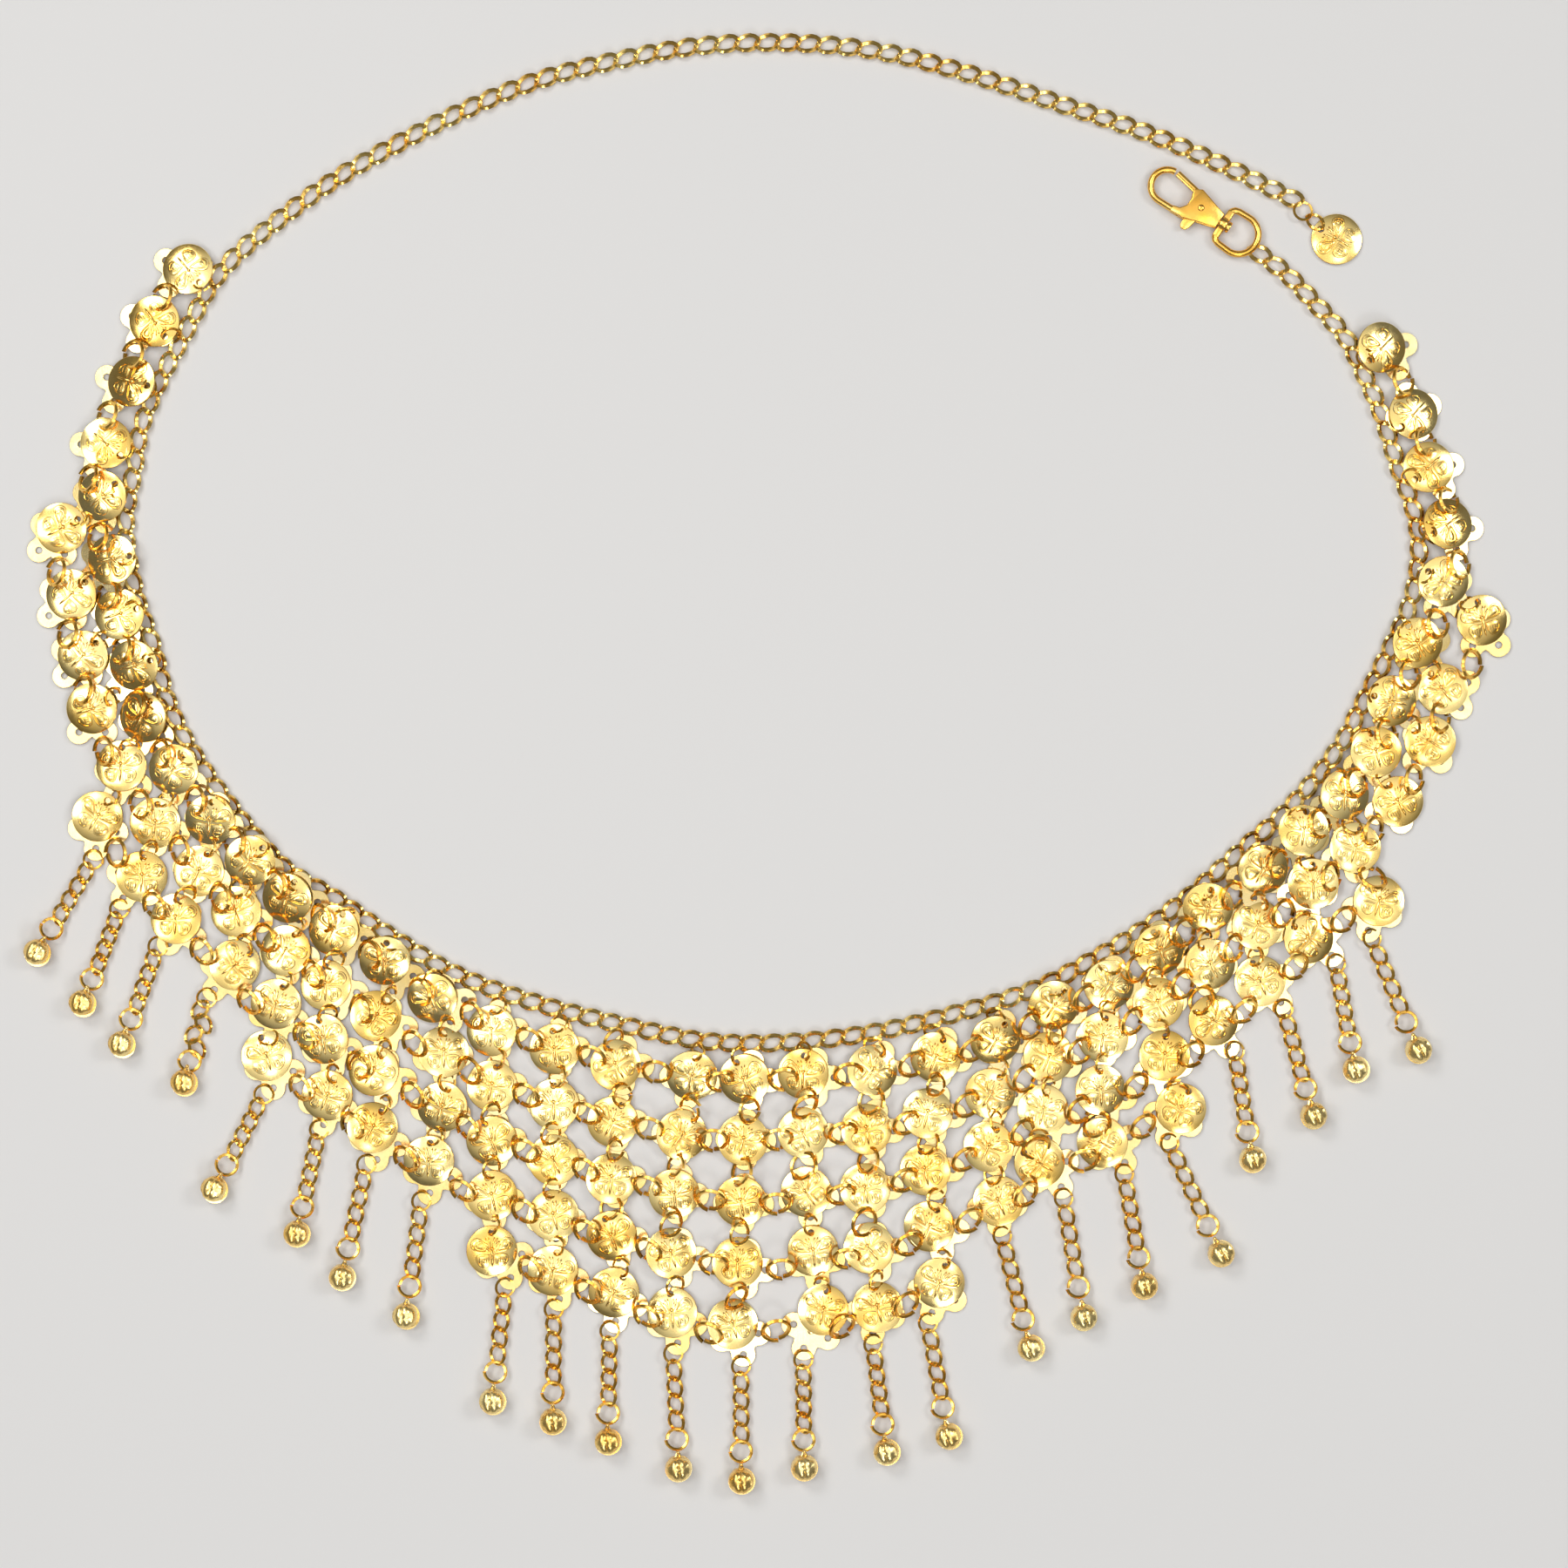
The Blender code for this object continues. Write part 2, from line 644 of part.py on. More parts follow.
def build_hook_body(material, clasp):
    """The housing, its pin, the nose and the swivel post, all in one piece."""
    back, bar_in = RING_BAR + CLEAR, RING_BAR - RING_BAND
    wall = [(back, -2.3), (16.2, -4.9), (18.6, -3.6), (19.2, 0), (19.2, 5.6), (16.6, 5.8),
            (13.0, 4.2), (back, 2.3)]
    body = prism("hook_body", wall, SLOT_HALF, HOUSING_HALF, material)
    strut = arc(NOSE_RADIUS, -85, 90, 12, (NOSE_AT, 0)) + [(21.5, 4.8), (17.4, 4.2)]
    pieces = [
        prism("lower_wall", wall, -HOUSING_HALF, -SLOT_HALF, material),
        prism("back_block", [(back + 0.2, -2.0), (9.6, -2.6), (9.6, 2.8), (back + 0.2, 2.0)],
              -1.7, 1.7, material),
        prism("front_block", [(16.8, 2.9), (18.9, 2.9), (18.9, 5.4), (16.8, 5.5)],
              -1.7, 1.7, material),
        rod("post", (bar_in - 1.0, 0, 0), (back + 1.2, 0, 0), POST_RADIUS, material),
        rod("head", (bar_in - CLEAR - 1.1, 0, 0), (bar_in - CLEAR, 0, 0), 1.8, material),
        rod("pin", (PIN_AT, 0, -1.5), (PIN_AT, 0, 1.5), PIN_RADIUS, material, 8),
        bent_wire("nose", strut, HOOK_WIRE, material)]
    for piece in pieces:
        combine(body, piece, "UNION")
    return put(body, "hook_body", clasp)


def build_hook_lever(material, clasp):
    """The sprung gate with its thumb tab, on the pin between the two walls."""
    outline = [(13.4, 7.0), (12.0, 1.6), (11.8, -1.4), (14.6, -4.0), (24.7, -5.8),
               (25.4, -4.0), (16.8, -2.6), (15.9, 0.8), (16.0, 7.0)]
    half = SLOT_HALF - CLEAR
    lever = prism("hook_lever", outline, -half, half, material)
    bore = rod("bore", (PIN_AT, 0, -2), (PIN_AT, 0, 2), PIN_RADIUS + CLEAR, material, 8)
    combine(lever, bore, "DIFFERENCE")
    return put(lever, "hook_lever", clasp, (PIN_AT, 0.0))


def clear_scene():
    for obj in list(bpy.data.objects):
        bpy.data.objects.remove(obj, do_unlink=True)


def build_strands(route, material, parent):
    groups = settled_strands()
    for index, (strand, centres) in enumerate(zip(STRANDS, groups)):
        others = [centre for other, group in enumerate(groups) if other != index
                  for centre in group]
        plan = StrandPlan(strand, centres, others, route)
        build_strand(index + 1, plan, material, parent)


def build_chain(route, material, parent):
    each = CHAIN_LINKS // CHAIN_STRETCHES
    for index in range(CHAIN_STRETCHES):
        build_stretch(index + 1, route, index * each, (index + 1) * each, material, parent)


def build_clasp(material, parent):
    clasp = make_empty("clasp_frame", (*place(HOOK_CENTRE), HOOK_HEIGHT), HOOK_TURN, parent)
    build_swivel_ring(material, clasp)
    build_hook_body(material, clasp)
    build_hook_lever(material, clasp)


def main():
    clear_scene()
    route = Route(CHAIN_ROUTE)
    chain_gold = make_material("chain_gold", (0.83, 0.58, 0.20), 0.25)
    coin_gold = make_material("coin_gold", (0.88, 0.66, 0.28), 0.22)
    clasp_gold = make_material("clasp_gold", (0.80, 0.52, 0.15), 0.18)
    laid_flat = make_empty("laid_flat")
    build_chain(route, chain_gold, laid_flat)
    build_strands(route, coin_gold, laid_flat)
    build_end_coin(route, coin_gold, laid_flat)
    build_clasp(clasp_gold, laid_flat)


main()
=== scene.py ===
# Tassel waist chain laid flat: curb chain, swivel hook, strands of stamped
# coins on four-lobed plates, and drops with bells. Sizes are in millimetres
# and are multiplied by mm where a mesh is made.
import random
from collections import namedtuple
from math import atan, atan2, cos, degrees, hypot, pi, radians, sin

import bpy
import numpy as np
from mathutils import Matrix, Vector


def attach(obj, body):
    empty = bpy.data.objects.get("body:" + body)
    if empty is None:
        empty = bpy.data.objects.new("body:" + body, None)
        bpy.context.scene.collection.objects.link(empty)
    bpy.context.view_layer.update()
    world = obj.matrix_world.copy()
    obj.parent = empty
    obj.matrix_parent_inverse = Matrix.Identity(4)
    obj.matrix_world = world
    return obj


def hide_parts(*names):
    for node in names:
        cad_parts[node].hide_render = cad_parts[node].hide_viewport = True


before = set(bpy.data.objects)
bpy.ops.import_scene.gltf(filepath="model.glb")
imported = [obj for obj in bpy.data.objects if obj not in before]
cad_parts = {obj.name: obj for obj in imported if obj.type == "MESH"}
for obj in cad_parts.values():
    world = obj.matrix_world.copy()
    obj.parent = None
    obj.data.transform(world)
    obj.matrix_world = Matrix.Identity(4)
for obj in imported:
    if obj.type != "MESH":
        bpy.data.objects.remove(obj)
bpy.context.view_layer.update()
meshOps, objectOps = bpy.ops.mesh, bpy.ops.object

mm = 0.001
pixel = 0.26                   # real size of one photo pixel
middlePixel = (883.55, 875.61)  # photo pixel at the middle of the outline
chance = random.Random(7)

layout = {"clear": 0.3, "spare": 0.05, "coinReach": 7.7, "plateShift": 2.0,
          "chainWidth": 5.6, "chainRest": 1.8, "links": 176, "stretches": 16,
          "startEarly": 2.3, "endLate": 2.6, "lookAhead": 2}

# the chain's middle line as photo pixels, from the hook clockwise to the end coin
chainRoute = [
    (1443, 290), (1477, 316), (1511, 351), (1543, 387), (1563, 426), (1584, 473),
    (1604, 536), (1622, 586), (1628, 635), (1619, 690), (1595, 745), (1565, 805),
    (1535, 860), (1482, 925), (1426, 975), (1354, 1037), (1279, 1087), (1192, 1133),
    (1101, 1162), (1001, 1185), (906, 1196), (812, 1195), (714, 1176), (619, 1152),
    (526, 1119), (442, 1070), (385, 1031), (324, 993), (264, 924), (221, 862),
    (194, 807), (176, 741), (156, 680), (145, 605), (155, 537), (163, 490),
    (184, 438), (215, 379), (245, 325), (277, 289), (331, 245), (388, 205),
    (449, 170), (532, 128), (615, 94), (700, 72), (800, 54), (905, 50),
    (1010, 60), (1110, 85), (1210, 118), (1312, 152), (1398, 188), (1483, 229)]

# one row for each strand: coins, first and last coin, bow to the right, top of its drop, bell
Strand = namedtuple("Strand", "coins first last bow hang bell", defaults=(0, None, None))
strandTable = [
    Strand(1, (217, 310), (217, 310)),
    Strand(1, (179, 370), (179, 370)),
    Strand(1, (153, 439), (153, 439)),
    Strand(1, (123, 513), (123, 513)),
    Strand(2, (119, 569), (72, 606)),
    Strand(2, (131, 643), (83, 683)),
    Strand(2, (139, 706), (102, 754)),
    Strand(2, (153, 764), (110, 814)),
    Strand(3, (164, 822), (113, 937), 7, (107, 990), (45, 1092)),
    Strand(3, (198, 883), (164, 1006), -2, (138, 1043), (97, 1150)),
    Strand(3, (241, 949), (205, 1050), 7, (182, 1086), (142, 1197)),
    Strand(3, (287, 990), (276, 1105), -9, (232, 1152), (213, 1241)),
    Strand(4, (330, 1032), (307, 1211), 6, (303, 1256), (248, 1363)),
    Strand(4, (383, 1068), (382, 1254), -12, (367, 1296), (342, 1414)),
    Strand(4, (443, 1102), (428, 1294), -7, (421, 1336), (394, 1464)),
    Strand(4, (497, 1145), (493, 1332), 16, (484, 1378), (467, 1508)),
    Strand(5, (565, 1183), (565, 1435), 0, (580, 1477), (566, 1606)),
    Strand(5, (637, 1204), (635, 1458), 0, (636, 1502), (635, 1629)),
    Strand(5, (707, 1222), (705, 1483), -4, (700, 1527), (698, 1652)),
    Strand(5, (796, 1234), (772, 1506), -10, (773, 1553), (779, 1683)),
    Strand(5, (854, 1238), (841, 1519), 3, (850, 1570), (851, 1697)),
    Strand(5, (922, 1232), (945, 1503), -8, (922, 1560), (923, 1682)),
    Strand(5, (1001, 1228), (1007, 1500), -11, (1002, 1542), (1017, 1664)),
    Strand(5, (1074, 1213), (1078, 1472), -14, (1065, 1518), (1088, 1646)),
    Strand(4, (1142, 1193), (1146, 1378), -8, (1150, 1418), (1182, 1545)),
    Strand(4, (1208, 1163), (1192, 1327), 0, (1221, 1378), (1243, 1510)),
    Strand(4, (1274, 1132), (1265, 1310), -6, (1290, 1347), (1312, 1474)),
    Strand(4, (1331, 1090), (1355, 1272), -12, (1342, 1312), (1400, 1437)),
    Strand(3, (1396, 1045), (1392, 1171), -1, (1417, 1206), (1436, 1329)),
    Strand(3, (1450, 998), (1443, 1125), -2, (1473, 1158), (1506, 1279)),
    Strand(3, (1495, 953), (1495, 1075), 11, (1533, 1106), (1554, 1226)),
    Strand(3, (1542, 912), (1582, 1034), -7, (1574, 1077), (1626, 1204)),
    Strand(2, (1578, 863), (1604, 920)),
    Strand(2, (1598, 804), (1641, 851)),
    Strand(2, (1627, 741), (1653, 790)),
    Strand(2, (1655, 668), (1700, 712)),
    Strand(1, (1660, 602), (1660, 602)),
    Strand(1, (1638, 537), (1638, 537)),
    Strand(1, (1621, 476), (1621, 476)),
    Strand(1, (1584, 400), (1584, 400))]


# where things lie, by the same rules as the solids
def spot(photoPixel):
    return np.array([(photoPixel[0] - middlePixel[0]) * pixel,
                     (middlePixel[1] - photoPixel[1]) * pixel])


def unit(vector):
    return vector / np.linalg.norm(vector)


def leftOf(direction):
    return np.array([-direction[1], direction[0]])


def turned(direction, degrees):
    turn = radians(degrees)
    return direction * cos(turn) + leftOf(direction) * sin(turn)


def routePoints(pixels, steps=12):
    knots = [spot(one) for one in pixels]
    knots = [2 * knots[0] - knots[1]] + knots + [2 * knots[-1] - knots[-2]]
    curve = []
    for a, b, c, d in zip(knots, knots[1:], knots[2:], knots[3:]):
        for t in np.arange(steps) / steps:
            curve.append(0.5 * (2 * b + (c - a) * t + (2 * a - 5 * b + 4 * c - d) * t ** 2
                                + (3 * b - a - 3 * c + d) * t ** 3))
    return np.array(curve + [knots[-2]])


class Route:
    def __init__(self, pixels):
        self.points = routePoints(pixels)
        steps = np.linalg.norm(np.diff(self.points, axis=0), axis=1)
        self.along = np.concatenate([[0.0], np.cumsum(steps)])
        self.length = self.along[-1]
        sides = np.array([leftOf(unit(step)) for step in np.gradient(self.points, axis=0)])
        half = sides * layout["chainWidth"] / 2
        self.edges = np.concatenate([self.points + half, self.points - half])

    def point(self, distance):
        return np.array([np.interp(distance, self.along, self.points[:, axis]) for axis in (0, 1)])

    def direction(self, distance):
        near = max(distance - layout["lookAhead"], 0)
        far = min(distance + layout["lookAhead"], self.length)
        return unit(self.point(far) - self.point(near))

    def nearest(self, point):
        return self.points[np.argmin(np.linalg.norm(self.points - point, axis=1))]


def coinCentres(strand):
    first, last = spot(strand.first), spot(strand.last)
    bow = np.array([strand.bow * pixel, 0.0])
    shares = np.linspace(0, 1, strand.coins) if strand.coins > 1 else [0.0]
    return [first + (last - first) * share + bow * 4 * share * (1 - share) for share in shares]


def settleCoins(coins, rounds=120):
    apart = 2 * layout["coinReach"] + layout["clear"] + layout["spare"]
    for _ in range(rounds):
        for index in range(len(coins)):
            away = coins[index] - np.delete(coins, index, axis=0)
            gaps = np.linalg.norm(away, axis=1)
            close = gaps < apart
            push = (away[close] / gaps[close, None] * (apart - gaps[close, None]) / 2).sum(axis=0)
            coins[index] += push
    return coins


def settledStrands():
    groups = [coinCentres(strand) for strand in strandTable]
    coins = settleCoins(np.array([centre for group in groups for centre in group]))
    ends = np.cumsum([len(group) for group in groups])
    return np.split(coins, ends[:-1])


class Lie:
    # a coin lies flat, or leans on the chain beneath its upper edge
    def __init__(self, centre, route):
        self.centre, self.slope = centre, 0.0
        self.uphill = unit(route.nearest(centre) - centre)
        reach = layout["coinReach"]
        under = [edge for edge in route.edges
                 if np.linalg.norm(edge - centre) < reach + layout["clear"]]
        if under:
            crest = min(np.dot(edge - centre, self.uphill) for edge in under)
            self.slope = (layout["chainRest"] + layout["clear"]) / (crest - layout["clear"] + reach)

    def height(self, point):
        climb = np.dot(point - self.centre, self.uphill) + layout["coinReach"]
        return max(0.0, self.slope * climb)


# the plated finishes: cloudy warmer patches, then hairline scratches and dents
plating = {"cloudDetail": 4.0, "cloudRamp": (0.38, 0.68), "fineScale": 900.0, "fineDetail": 3.0}
handling = {"hairTurn": 0.6, "hairStretch": (2600, 160, 400), "hairScale": 1.0, "dentDetail": 1.0,
            "bumpDistance": 0.0004}


def connect(links, *joints):
    for source, output, target, entry in joints:
        links.new(source.outputs[output], target.inputs[entry])


def fill(node, values):
    for name, value in values.items():
        node.inputs[name].default_value = value


def makeGroup(name, outputs, inputs):
    group = bpy.data.node_groups.new(name, "ShaderNodeTree")
    for label, kind, value in inputs:
        socket = group.interface.new_socket(label, in_out="INPUT", socket_type="NodeSocket" + kind)
        socket.default_value = value
    for label, kind in outputs:
        group.interface.new_socket(label, in_out="OUTPUT", socket_type="NodeSocket" + kind)
    return group, group.nodes.new("NodeGroupInput"), group.nodes.new("NodeGroupOutput")


def platingTone():
    # thin plating is warmer in cloudy patches, and its roughness varies with a fine noise
    group, given, out = makeGroup(
        "platingTone", [("Colour", "Color"), ("Roughness", "Float")],
        [("Bright", "Color", (1, 0.8, 0.4, 1)), ("Warm", "Color", (0.9, 0.5, 0.1, 1)),
         ("Patch size", "Float", 120.0), ("Smooth", "Float", 0.15),
         ("Dull", "Float", 0.3)])
    nodes, links = group.nodes, group.links
    place = nodes.new("ShaderNodeTexCoord")
    cloud = nodes.new("ShaderNodeTexNoise")
    fill(cloud, {"Detail": plating["cloudDetail"]})
    ramp = nodes.new("ShaderNodeValToRGB")
    for stop, position in zip(ramp.color_ramp.elements, plating["cloudRamp"]):
        stop.position = position
    mix = nodes.new("ShaderNodeMix")
    mix.data_type = "RGBA"
    fine = nodes.new("ShaderNodeTexNoise")
    fill(fine, {"Scale": plating["fineScale"], "Detail": plating["fineDetail"]})
    spread = nodes.new("ShaderNodeMapRange")
    connect(links, (place, "Object", cloud, "Vector"), (given, "Patch size", cloud, "Scale"),
            (cloud, "Fac", ramp, "Fac"), (ramp, "Color", mix, "Factor"),
            (given, "Bright", mix, "A"), (given, "Warm", mix, "B"),
            (place, "Object", fine, "Vector"), (fine, "Fac", spread, "Value"),
            (given, "Smooth", spread, "To Min"), (given, "Dull", spread, "To Max"),
            (mix, "Result", out, "Colour"), (spread, "Result", out, "Roughness"))
    return group


def handlingMarks():
    # hairline scratches one way and small dents, as a height
    group, given, out = makeGroup(
        "handlingMarks", [("Height", "Float")],
        [("Scratch", "Float", 0.4), ("Dent size", "Float", 300.0)])
    nodes, links = group.nodes, group.links
    place = nodes.new("ShaderNodeTexCoord")
    stretch = nodes.new("ShaderNodeMapping")
    fill(stretch, {"Rotation": (0, 0, handling["hairTurn"]), "Scale": handling["hairStretch"]})
    hair = nodes.new("ShaderNodeTexNoise")
    fill(hair, {"Scale": handling["hairScale"]})
    dent = nodes.new("ShaderNodeTexNoise")
    fill(dent, {"Detail": handling["dentDetail"]})
    weigh = nodes.new("ShaderNodeMath")
    weigh.operation = "MULTIPLY"
    total = nodes.new("ShaderNodeMath")
    total.operation = "ADD"
    connect(links, (place, "Object", stretch, "Vector"), (stretch, "Vector", hair, "Vector"),
            (place, "Object", dent, "Vector"), (given, "Dent size", dent, "Scale"),
            (hair, "Fac", weigh, 0), (given, "Scratch", weigh, 1), (weigh, "Value", total, 0),
            (dent, "Fac", total, 1), (total, "Value", out, "Height"))
    return group


finishes = {
    "chainWireGold": {"bright": (1.0, 0.72, 0.22), "warm": (0.95, 0.52, 0.09), "patch": 60.0,
                      "smooth": 0.13, "dull": 0.30, "scratch": 0.2, "dent": 500.0, "bump": 0.10},
    "coinGold": {"bright": (1.0, 0.78, 0.32), "warm": (0.95, 0.6, 0.13), "patch": 45.0,
                 "smooth": 0.1, "dull": 0.24, "scratch": 0.08, "dent": 200.0, "bump": 0.1},
    "plateGold": {"bright": (1.0, 0.82, 0.42), "warm": (0.97, 0.68, 0.22), "patch": 50.0,
                  "smooth": 0.12, "dull": 0.28, "scratch": 0.1, "dent": 160.0, "bump": 0.1},
    "ringWireGold": {"bright": (1.0, 0.62, 0.13), "warm": (0.85, 0.42, 0.05), "patch": 90.0,
                     "smooth": 0.13, "dull": 0.28, "scratch": 0.2, "dent": 500.0, "bump": 0.08},
    "bellGold": {"bright": (1.0, 0.79, 0.34), "warm": (0.94, 0.58, 0.14), "patch": 80.0,
                 "smooth": 0.20, "dull": 0.36, "scratch": 0.2, "dent": 320.0, "bump": 0.20},
    "claspGold": {"bright": (1.0, 0.64, 0.17), "warm": (0.88, 0.45, 0.06), "patch": 70.0,
                  "smooth": 0.14, "dull": 0.30, "scratch": 0.3, "dent": 220.0, "bump": 0.10}}


def makeFinish(name, tone, marks, finish):
    material = bpy.data.materials.new(name)
    material.use_nodes = True
    nodes, links = material.node_tree.nodes, material.node_tree.links
    shader = nodes["Principled BSDF"]
    fill(shader, {"Metallic": 1.0})
    colour, height = nodes.new("ShaderNodeGroup"), nodes.new("ShaderNodeGroup")
    colour.node_tree, height.node_tree = tone, marks
    fill(colour, {"Bright": (*finish["bright"], 1), "Warm": (*finish["warm"], 1),
                  "Patch size": finish["patch"], "Smooth": finish["smooth"], "Dull": finish["dull"]})
    fill(height, {"Scratch": finish["scratch"], "Dent size": finish["dent"]})
    bump = nodes.new("ShaderNodeBump")
    fill(bump, {"Strength": finish["bump"], "Distance": handling["bumpDistance"]})
    connect(links, (colour, "Colour", shader, "Base Color"),
            (colour, "Roughness", shader, "Roughness"), (height, "Height", bump, "Height"),
            (bump, "Normal", shader, "Normal"))
    return material


def makeFinishes():
    tone, marks = platingTone(), handlingMarks()
    return {name: makeFinish(name, tone, marks, finish) for name, finish in finishes.items()}


# modelling helpers
def startClean():
    if bpy.context.object and bpy.context.object.mode != "OBJECT":
        objectOps.mode_set(mode="OBJECT")
    objectOps.select_all(action="DESELECT")


def selectOnly(obj):
    startClean()
    obj.select_set(True)
    bpy.context.view_layer.objects.active = obj


def pickFaces(obj, wanted):
    # leaves the object in edit mode with only the wanted faces selected
    objectOps.mode_set(mode="EDIT")
    meshOps.select_mode(type="FACE")
    meshOps.select_all(action="DESELECT")
    objectOps.mode_set(mode="OBJECT")
    for face in obj.data.polygons:
        face.select = bool(wanted(face))
    objectOps.mode_set(mode="EDIT")


def joinAll(objects, name):
    startClean()
    for obj in objects:
        obj.select_set(True)
    bpy.context.view_layer.objects.active = objects[0]
    objectOps.join()
    joined = bpy.context.object
    joined.name = joined.data.name = name
    return joined


def applyModifier(obj, kind, **settings):
    selectOnly(obj)
    modifier = obj.modifiers.new(kind.lower(), kind)
    for key, value in settings.items():
        setattr(modifier, key, value)
    objectOps.modifier_apply(modifier=modifier.name)


def cutWith(obj, tool):
    applyModifier(obj, "BOOLEAN", operation="DIFFERENCE", solver="EXACT", object=tool)
    bpy.data.objects.remove(tool)


def roundEdges(obj, width, segments, degrees):
    applyModifier(obj, "BEVEL", width=width * mm, segments=segments, limit_method="ANGLE",
                  angle_limit=radians(degrees))


def smooth(obj, degrees):
    selectOnly(obj)
    objectOps.shade_smooth_by_angle(angle=radians(degrees))


def settlePlace(obj):
    # the place goes into the mesh, and the object sits at the origin
    obj.data.transform(obj.matrix_world)
    obj.matrix_world = Matrix.Identity(4)


def addCylinder(sides, radius, depth, at=(0, 0, 0), turn=(0, 0, 0)):
    startClean()
    meshOps.primitive_cylinder_add(vertices=sides, radius=radius * mm, depth=depth * mm,
                                        location=Vector(at) * mm, rotation=turn)
    obj = bpy.context.object
    settlePlace(obj)
    return obj


def drill(obj, radius, at, sides=12, depth=4):
    cutWith(obj, addCylinder(sides, radius, depth, at))


def addBead(radii, at, segments=8, rings=6, turn=0.0):
    # a ball squashed to three radii
    startClean()
    meshOps.primitive_uv_sphere_add(segments=segments, ring_count=rings, radius=mm,
                                         scale=radii, location=Vector(at) * mm,
                                         rotation=(0, 0, turn))
    obj = bpy.context.object
    bpy.context.view_layer.update()
    settlePlace(obj)
    return obj


def stampShape(outline, steps):
    # a closed outline pressed up from a sheet: each step draws it in and lifts it
    startClean()
    around = sum(a[0] * b[1] - b[0] * a[1] for a, b in zip(outline, outline[1:] + outline[:1]))
    outline = outline if around > 0 else outline[::-1]  # so that its face looks up
    meshOps.primitive_circle_add(vertices=len(outline), radius=mm, fill_type="NGON")
    obj = bpy.context.object
    for vertex, (x, y) in zip(obj.data.vertices, outline):
        vertex.co = (x * mm, y * mm, 0)
    pickFaces(obj, lambda face: True)
    xs, ys = zip(*outline)
    middle = Vector((sum(xs) / len(xs) * mm, sum(ys) / len(ys) * mm, 0))
    width = min(max(xs) - min(xs), max(ys) - min(ys))
    drawn = 1.0
    for inset, lift in steps:
        meshOps.extrude_region_move(TRANSFORM_OT_translate={"value": (0, 0, lift * mm)})
        share = (drawn - 2 * inset / width) / drawn
        bpy.ops.transform.resize(value=(share, share, 1), center_override=middle)
        drawn *= share
    objectOps.mode_set(mode="OBJECT")
    return obj


def paint(obj, material):
    obj.data.materials.clear()
    obj.data.materials.append(material)
    return obj


# the stamped coin
coin = {"radius": 7.6, "thick": 0.45, "dome": 0.75, "sides": 48, "holeRadius": 0.95, "holeAt": 5.6,
        "bevel": 0.12, "faceInsets": (0.3, 1.5, 1.6, 1.6), "backInsets": (2.2, 2.4)}

# the pressed butterfly on it: the right half, which is mirrored, then body and head
butterfly = {
    "rise": 0.3,
    "upper": {"root": (0.5, -0.2), "degrees": 31, "length": 6.5, "width": 4.1},
    "lower": [(0.6, -1.0), (1.9, -0.75), (3.3, -0.65), (4.5, -1.05), (5.0, -2.1), (4.7, -3.3),
              (3.9, -4.4), (2.9, -5.0), (1.9, -5.0), (1.2, -4.3), (0.85, -3.2), (0.65, -2.0)],
    "dot": {"radii": (0.55, 0.55, 0.3), "at": (4.35, 2.15), "lift": 0.05},
    "uprights": {"radii": (0.15, 1.45, 0.26), "at": (1.75, -2.75), "apart": 0.68, "count": 4},
    "levels": {"radii": (1.45, 0.14, 0.26), "at": (2.75, -2.2), "apart": 1.1, "count": 2},
    "lineLift": 0.12,
    "feelers": {"root": (0.3, 0.5), "wide": 0.32, "high": 0.36,
                "leanAndReach": ((0.17, 3.9), (0.42, 4.1), (0.70, 3.4))},
    "body": {"radii": (0.45, 2.9, 0.6), "at": (0, -2.0)},
    "head": {"radii": (0.55, 0.65, 0.6), "at": (0, 0.75)}}


def teardrop(root, degrees, length, width, count=16):
    points = []
    for index in range(count):
        turn = 2 * pi * index / count
        share = (1 - cos(turn)) / 2
        along, across = length * share, -width * 0.5 * sin(turn) * (0.3 + 1.1 * share)
        a = radians(degrees)
        points.append((root[0] + along * cos(a) + across * sin(a),
                       root[1] + along * sin(a) - across * cos(a)))
    return points


def mirrored(outline):
    return [(-x, y) for x, y in outline]


def wingShapes():
    # each step of a wing says how far it is drawn in and how far it rises
    rise = butterfly["rise"]
    ridge = [(0.14, rise), (0.26, 0.02), (0.10, -rise * 0.6)]
    eye = [(0.34, 0.08), (0.08, rise * 0.5), (0.14, 0.0), (0.08, -rise * 0.5), (0.3, 0.08)]
    field = [(0.6, 0.1)]
    shapes = []
    for outline, steps in ((teardrop(**butterfly["upper"]), ridge + eye),
                           (butterfly["lower"], ridge + field)):
        for one in (outline, mirrored(outline)):
            shape = stampShape(one, steps)
            for vertex in shape.data.vertices:
                vertex.co.z += coin["thick"] * mm
            shapes.append(shape)
    return shapes


def reliefBeads():
    top = coin["thick"]
    line = top + butterfly["lineLift"]
    dot, upright = butterfly["dot"], butterfly["uprights"]
    level, feeler = butterfly["levels"], butterfly["feelers"]
    beads = []
    for side in (1, -1):
        beads.append(addBead(dot["radii"], (side * dot["at"][0], dot["at"][1], top + dot["lift"])))
        for row in range(upright["count"]):
            x = side * (upright["at"][0] + row * upright["apart"])
            beads.append(addBead(upright["radii"], (x, upright["at"][1], line), 6, 4))
        for row in range(level["count"]):
            y = level["at"][1] - row * level["apart"]
            beads.append(addBead(level["radii"], (side * level["at"][0], y, line), 6, 4))
        for lean, reach in feeler["leanAndReach"]:
            middle = (side * (feeler["root"][0] + reach * 0.5 * sin(lean)),
                      feeler["root"][1] + reach * 0.5 * cos(lean), top)
            radii = (feeler["wide"], reach / 2, feeler["high"])
            beads.append(addBead(radii, middle, 8, 4, -side * lean))
    for name in ("body", "head"):
        beads.append(addBead(butterfly[name]["radii"], (*butterfly[name]["at"], top)))
    return beads


